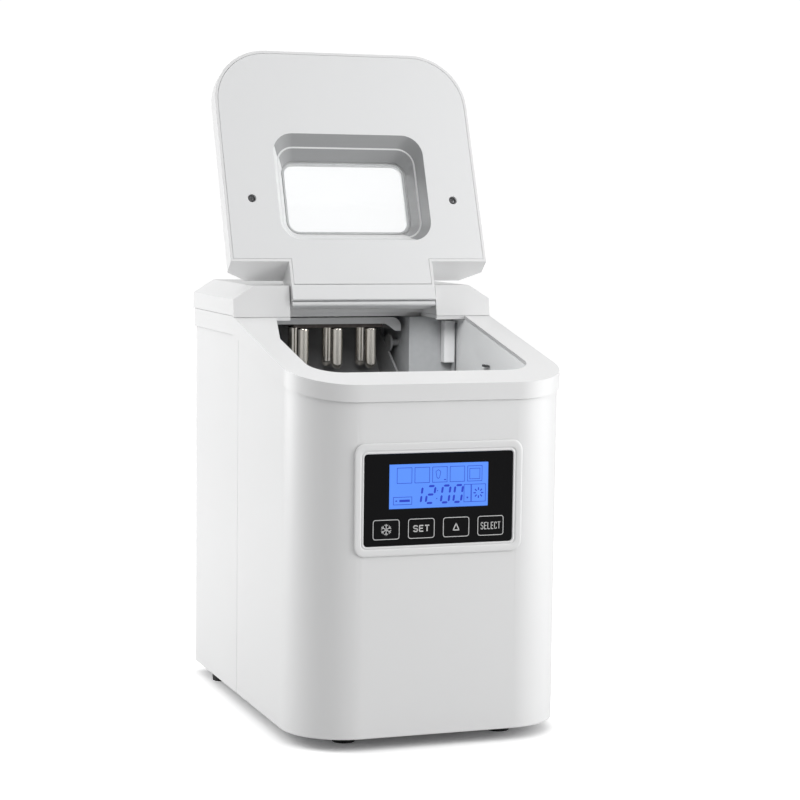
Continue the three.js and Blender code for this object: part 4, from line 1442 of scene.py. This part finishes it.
@dataclass
class ControlPanel:
    """The bezel, the black glass, the lit screen and the four keys."""

    print_depth: float = 0.04 * MM
    line: float = 0.55 * MM
    fine_line: float = 0.42 * MM
    key_edge: float = 0.35 * MM
    bezel_corners: tuple[float, float] = (9.0, 3.0)
    glass_gap: float = 0.3 * MM
    screen_border: float = 3.3 * MM
    digit: tuple[float, float] = (6.6 * MM, 13.6 * MM)
    digit_lean: float = 0.13
    digit_line: float = 1.75 * MM
    digit_gap: float = 0.75 * MM
    digit_nib: float = 0.45
    key_corners: tuple[float, float] = (2.3 * MM, 1.8 * MM)
    keys: tuple[Key, ...] = (
        Key("key_cool", Body.COOL_KEY, Sign.FLAKE),
        Key("key_set", Body.SET_KEY, Sign.SET),
        Key("key_mode", Body.MODE_KEY, Sign.TRIANGLE),
        Key("key_choose", Body.CHOOSE_KEY, Sign.SELECT),
    )

    def build(self) -> None:
        """Build the bezel's stepped frame, the screen's signs and the keys' prints."""
        self._bezel()
        self._screen()
        for key in self.keys:
            self._key(key)

    def _bezel(self) -> None:
        """Build the stepped frame round the glass."""
        low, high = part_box("panel_bezel")
        front = low.y
        glass_low, glass_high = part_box("panel_glass")
        gap = self.glass_gap
        inner = (glass_low.x - gap, glass_high.x + gap, glass_low.z - gap, glass_high.z + gap)
        outer = (low.x, high.x, low.z, high.z)
        wide, tight = self.bezel_corners
        rings = []
        for share, depth in BEZEL_SECTION:
            sides = [a + (b - a) * share for a, b in zip(outer, inner)]
            outline = ring_round(*sides, (wide + (tight - wide) * share) * MM, 12)
            rings.append([(x, front + depth * MM, z) for x, z in outline])
        piece = shown(
            "panel_bezel_moulded", loft(rings, False, True), WHITE_SHELL, Body.CABINET
        )
        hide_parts("panel_bezel")

    def _screen(self) -> None:
        """Build the signs on the lit screen: the boxes, the time and the burst."""
        low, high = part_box("lcd_module")
        border = self.screen_border
        x0, x1 = low.x + border, high.x - border
        z0, z1 = low.z + border, high.z - border
        wide, tall = x1 - x0, z1 - z0

        def at(u: float, w: float) -> Point2:
            """Place a point on the screen.

            Args:
                u: the share of the way across.
                w: the share of the way up.

            Returns:
                The point, in metres.
            """
            return (x0 + u * wide, z0 + w * tall)

        def box(u0: float, u1: float, w0: float, w1: float, width: float) -> list[list[Point2]]:
            """Draw a box in line.

            Args:
                u0: the left side's share.
                u1: the right side's share.
                w0: the lower side's share.
                w1: the upper side's share.
                width: the line's width.

            Returns:
                The outlines of its four lines.
            """
            corners = [at(u0, w0), at(u1, w0), at(u1, w1), at(u0, w1), at(u0, w0)]
            return stroke(corners, width, width / 2.0)

        fine = self.fine_line
        outlines: list[list[Point2]] = []
        for i in range(5):
            left = SCREEN_BOX_LEFT + SCREEN_BOX_STEP * i
            outlines += box(left, left + SCREEN_BOX_WIDE, SCREEN_BOX_FOOT, SCREEN_BOX_TOP, fine)
        for sides in SCREEN_FRAMES:
            outlines += box(*sides, fine)
        outlines += stroke([at(*point) for point in SCREEN_BULB], fine)
        for left, right, height, width in SCREEN_MARKS:
            outlines += stroke([at(left, height), at(right, height)], width * MM)
        hub = Vector(at(*BURST_HUB))
        for i in range(BURST_RAYS):
            turn = i * math.tau / BURST_RAYS
            arm = Vector((math.cos(turn), math.sin(turn))) * MM
            ray = [tuple(hub + arm * BURST_INNER), tuple(hub + arm * BURST_OUTER)]
            outlines += stroke(ray, BURST_LINE * MM)
        for sign, u in SCREEN_TIME:
            outlines += self._digit(sign, at(u, SCREEN_TIME_FOOT), *self.digit)
        signs = plates(outlines, low.y + self.print_depth, low.y - self.print_depth)
        shown("screen_segments", signs, SCREEN_INK, Body.CABINET, False)

    def _digit(self, sign: str, foot: Point2, width: float, height: float) -> list[list[Point2]]:
        """Return the lit segments of a leaning digit.

        Args:
            sign: the digit.
            foot: its lower left corner.
            width: its width.
            height: its height.

        Returns:
            The segments' outlines.
        """
        half = height / 2.0
        ends = {
            "a": ((0.0, height), (width, height)), "g": ((0.0, half), (width, half)),
            "d": ((0.0, 0.0), (width, 0.0)),
            "f": ((0.0, half), (0.0, height)), "b": ((width, half), (width, height)),
            "e": ((0.0, 0.0), (0.0, half)), "c": ((width, 0.0), (width, half)),
        }
        outlines = []
        for segment in SEGMENTS[sign]:
            (xa, za), (xb, zb) = ends[segment]
            start, stop = Vector((xa, za)), Vector((xb, zb))
            along = (stop - start).normalized()
            side = Vector((-along.y, along.x)) * self.digit_line / 2.0
            start, stop = start + along * self.digit_gap, stop - along * self.digit_gap
            nib = along * self.digit_line * self.digit_nib
            shape = [
                start, start + nib - side, stop - nib - side, stop, stop - nib + side,
                start + nib + side,
            ]
            outlines.append([(foot[0] + p.x + p.y * self.digit_lean, foot[1] + p.y) for p in shape])
        return outlines

    def _key(self, key: Key) -> None:
        """Print a key's outline and its sign.

        Args:
            key: the key.
        """
        low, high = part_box(key.node)
        edge = self.key_edge
        outer = (low.x + edge, high.x - edge, low.z + edge, high.z - edge)
        inner = (
            outer[0] + self.line, outer[1] - self.line, outer[2] + self.line, outer[3] - self.line
        )
        back, front = low.y + self.print_depth, low.y - self.print_depth
        wide, tight = self.key_corners
        rings = (ring_round(*outer, wide, 8), ring_round(*inner, tight, 8))
        shown(key.node + "_outline", band(rings, back, front), PRINT_GREY, key.body, False)
        centre = Vector(((low.x + high.x) / 2.0, (low.z + high.z) / 2.0))
        signs = plates(self._sign(key.sign, centre), back, front)
        shown(key.node + "_sign", signs, PRINT_GREY, key.body, False)

    def _sign(self, sign: Sign, centre: Vector) -> list[list[Point2]]:
        """Return the outlines of a key's sign.

        Args:
            sign: which sign.
            centre: the middle of the key.

        Returns:
            The sign's outlines.
        """
        if sign is Sign.FLAKE:
            return self._flake(centre)
        if sign is Sign.TRIANGLE:
            corners = [(centre.x + x * MM, centre.y + z * MM) for x, z in TRIANGLE_CORNERS]
            return stroke(corners, TRIANGLE_LINE * MM, TRIANGLE_END * MM)
        wide, tall, step, width = WORD_SIZES[sign]
        word = sign.value
        left = centre.x - (step * (len(word) - 1) + wide) / 2.0 * MM
        outlines = []
        for i, letter in enumerate(word):
            for line in LETTERS[letter]:
                points = [
                    (left + (i * step + x * wide) * MM, centre.y + (z - 0.5) * tall * MM)
                    for x, z in line
                ]
                outlines += stroke(points, width * MM, LETTER_END * MM)
        return outlines

    def _flake(self, centre: Vector) -> list[list[Point2]]:
        """Draw a six-armed snowflake.

        Args:
            centre: its middle.

        Returns:
            The outlines of its arms and forks.
        """
        outlines = []
        for i in range(6):
            turn = math.radians(30 + 60 * i)
            arm = Vector((math.cos(turn), math.sin(turn)))
            across = Vector((-arm.y, arm.x))
            reach = [tuple(centre + arm * end * MM) for end in FLAKE_ARM]
            outlines += stroke(reach, FLAKE_ARM_LINE * MM)
            fork = centre + arm * FLAKE_FORK * MM
            for side in (-1.0, 1.0):
                tip = fork + (arm * FLAKE_BARB[0] + across * side * FLAKE_BARB[1]) * MM
                outlines += stroke([tuple(fork), tuple(tip)], FLAKE_BARB_LINE * MM)
        return outlines

    def dress(self) -> None:
        """Give the pieces that stay their finishes."""
        dress("panel_glass", GLOSS_BLACK)
        dress("lcd_module", SCREEN_BLUE)
        for key in self.keys:
            dress(key.node, GLOSS_BLACK)
        dress("control_board", BOARD_GREEN)


def dress_the_rest() -> None:
    """Give every node that stays the finish of its record slot."""
    for piece in frame["nodes"].values():
        for place, old in enumerate(piece.data.materials):
            finish = BY_SLOT.get(old.name if old else "")
            if finish:
                piece.data.materials[place] = finish.material()


def write_size() -> None:
    """Hold a helper that turns a box into plain lists; nothing is measured or written."""

    def plain(box: tuple[Vector, Vector]) -> list[list[float]]:
        """Turn a box into lists.

        Args:
            box: its two corners.

        Returns:
            The corners as lists of rounded numbers.
        """
        return [[round(float(v), 5) for v in corner] for corner in box]


def main() -> None:
    """Build every sub-assembly in order, then the studio."""
    logging.basicConfig(level=logging.INFO, format="%(name)s %(message)s")
    dress_the_rest()
    for part in (Casing(), Lid(), IceChamber(), ControlPanel()):
        part.build()
        part.dress()
        LOG.info("finished %s", type(part).__name__)
    Studio().build()
    write_size()


if __name__ == "__main__":
    main()
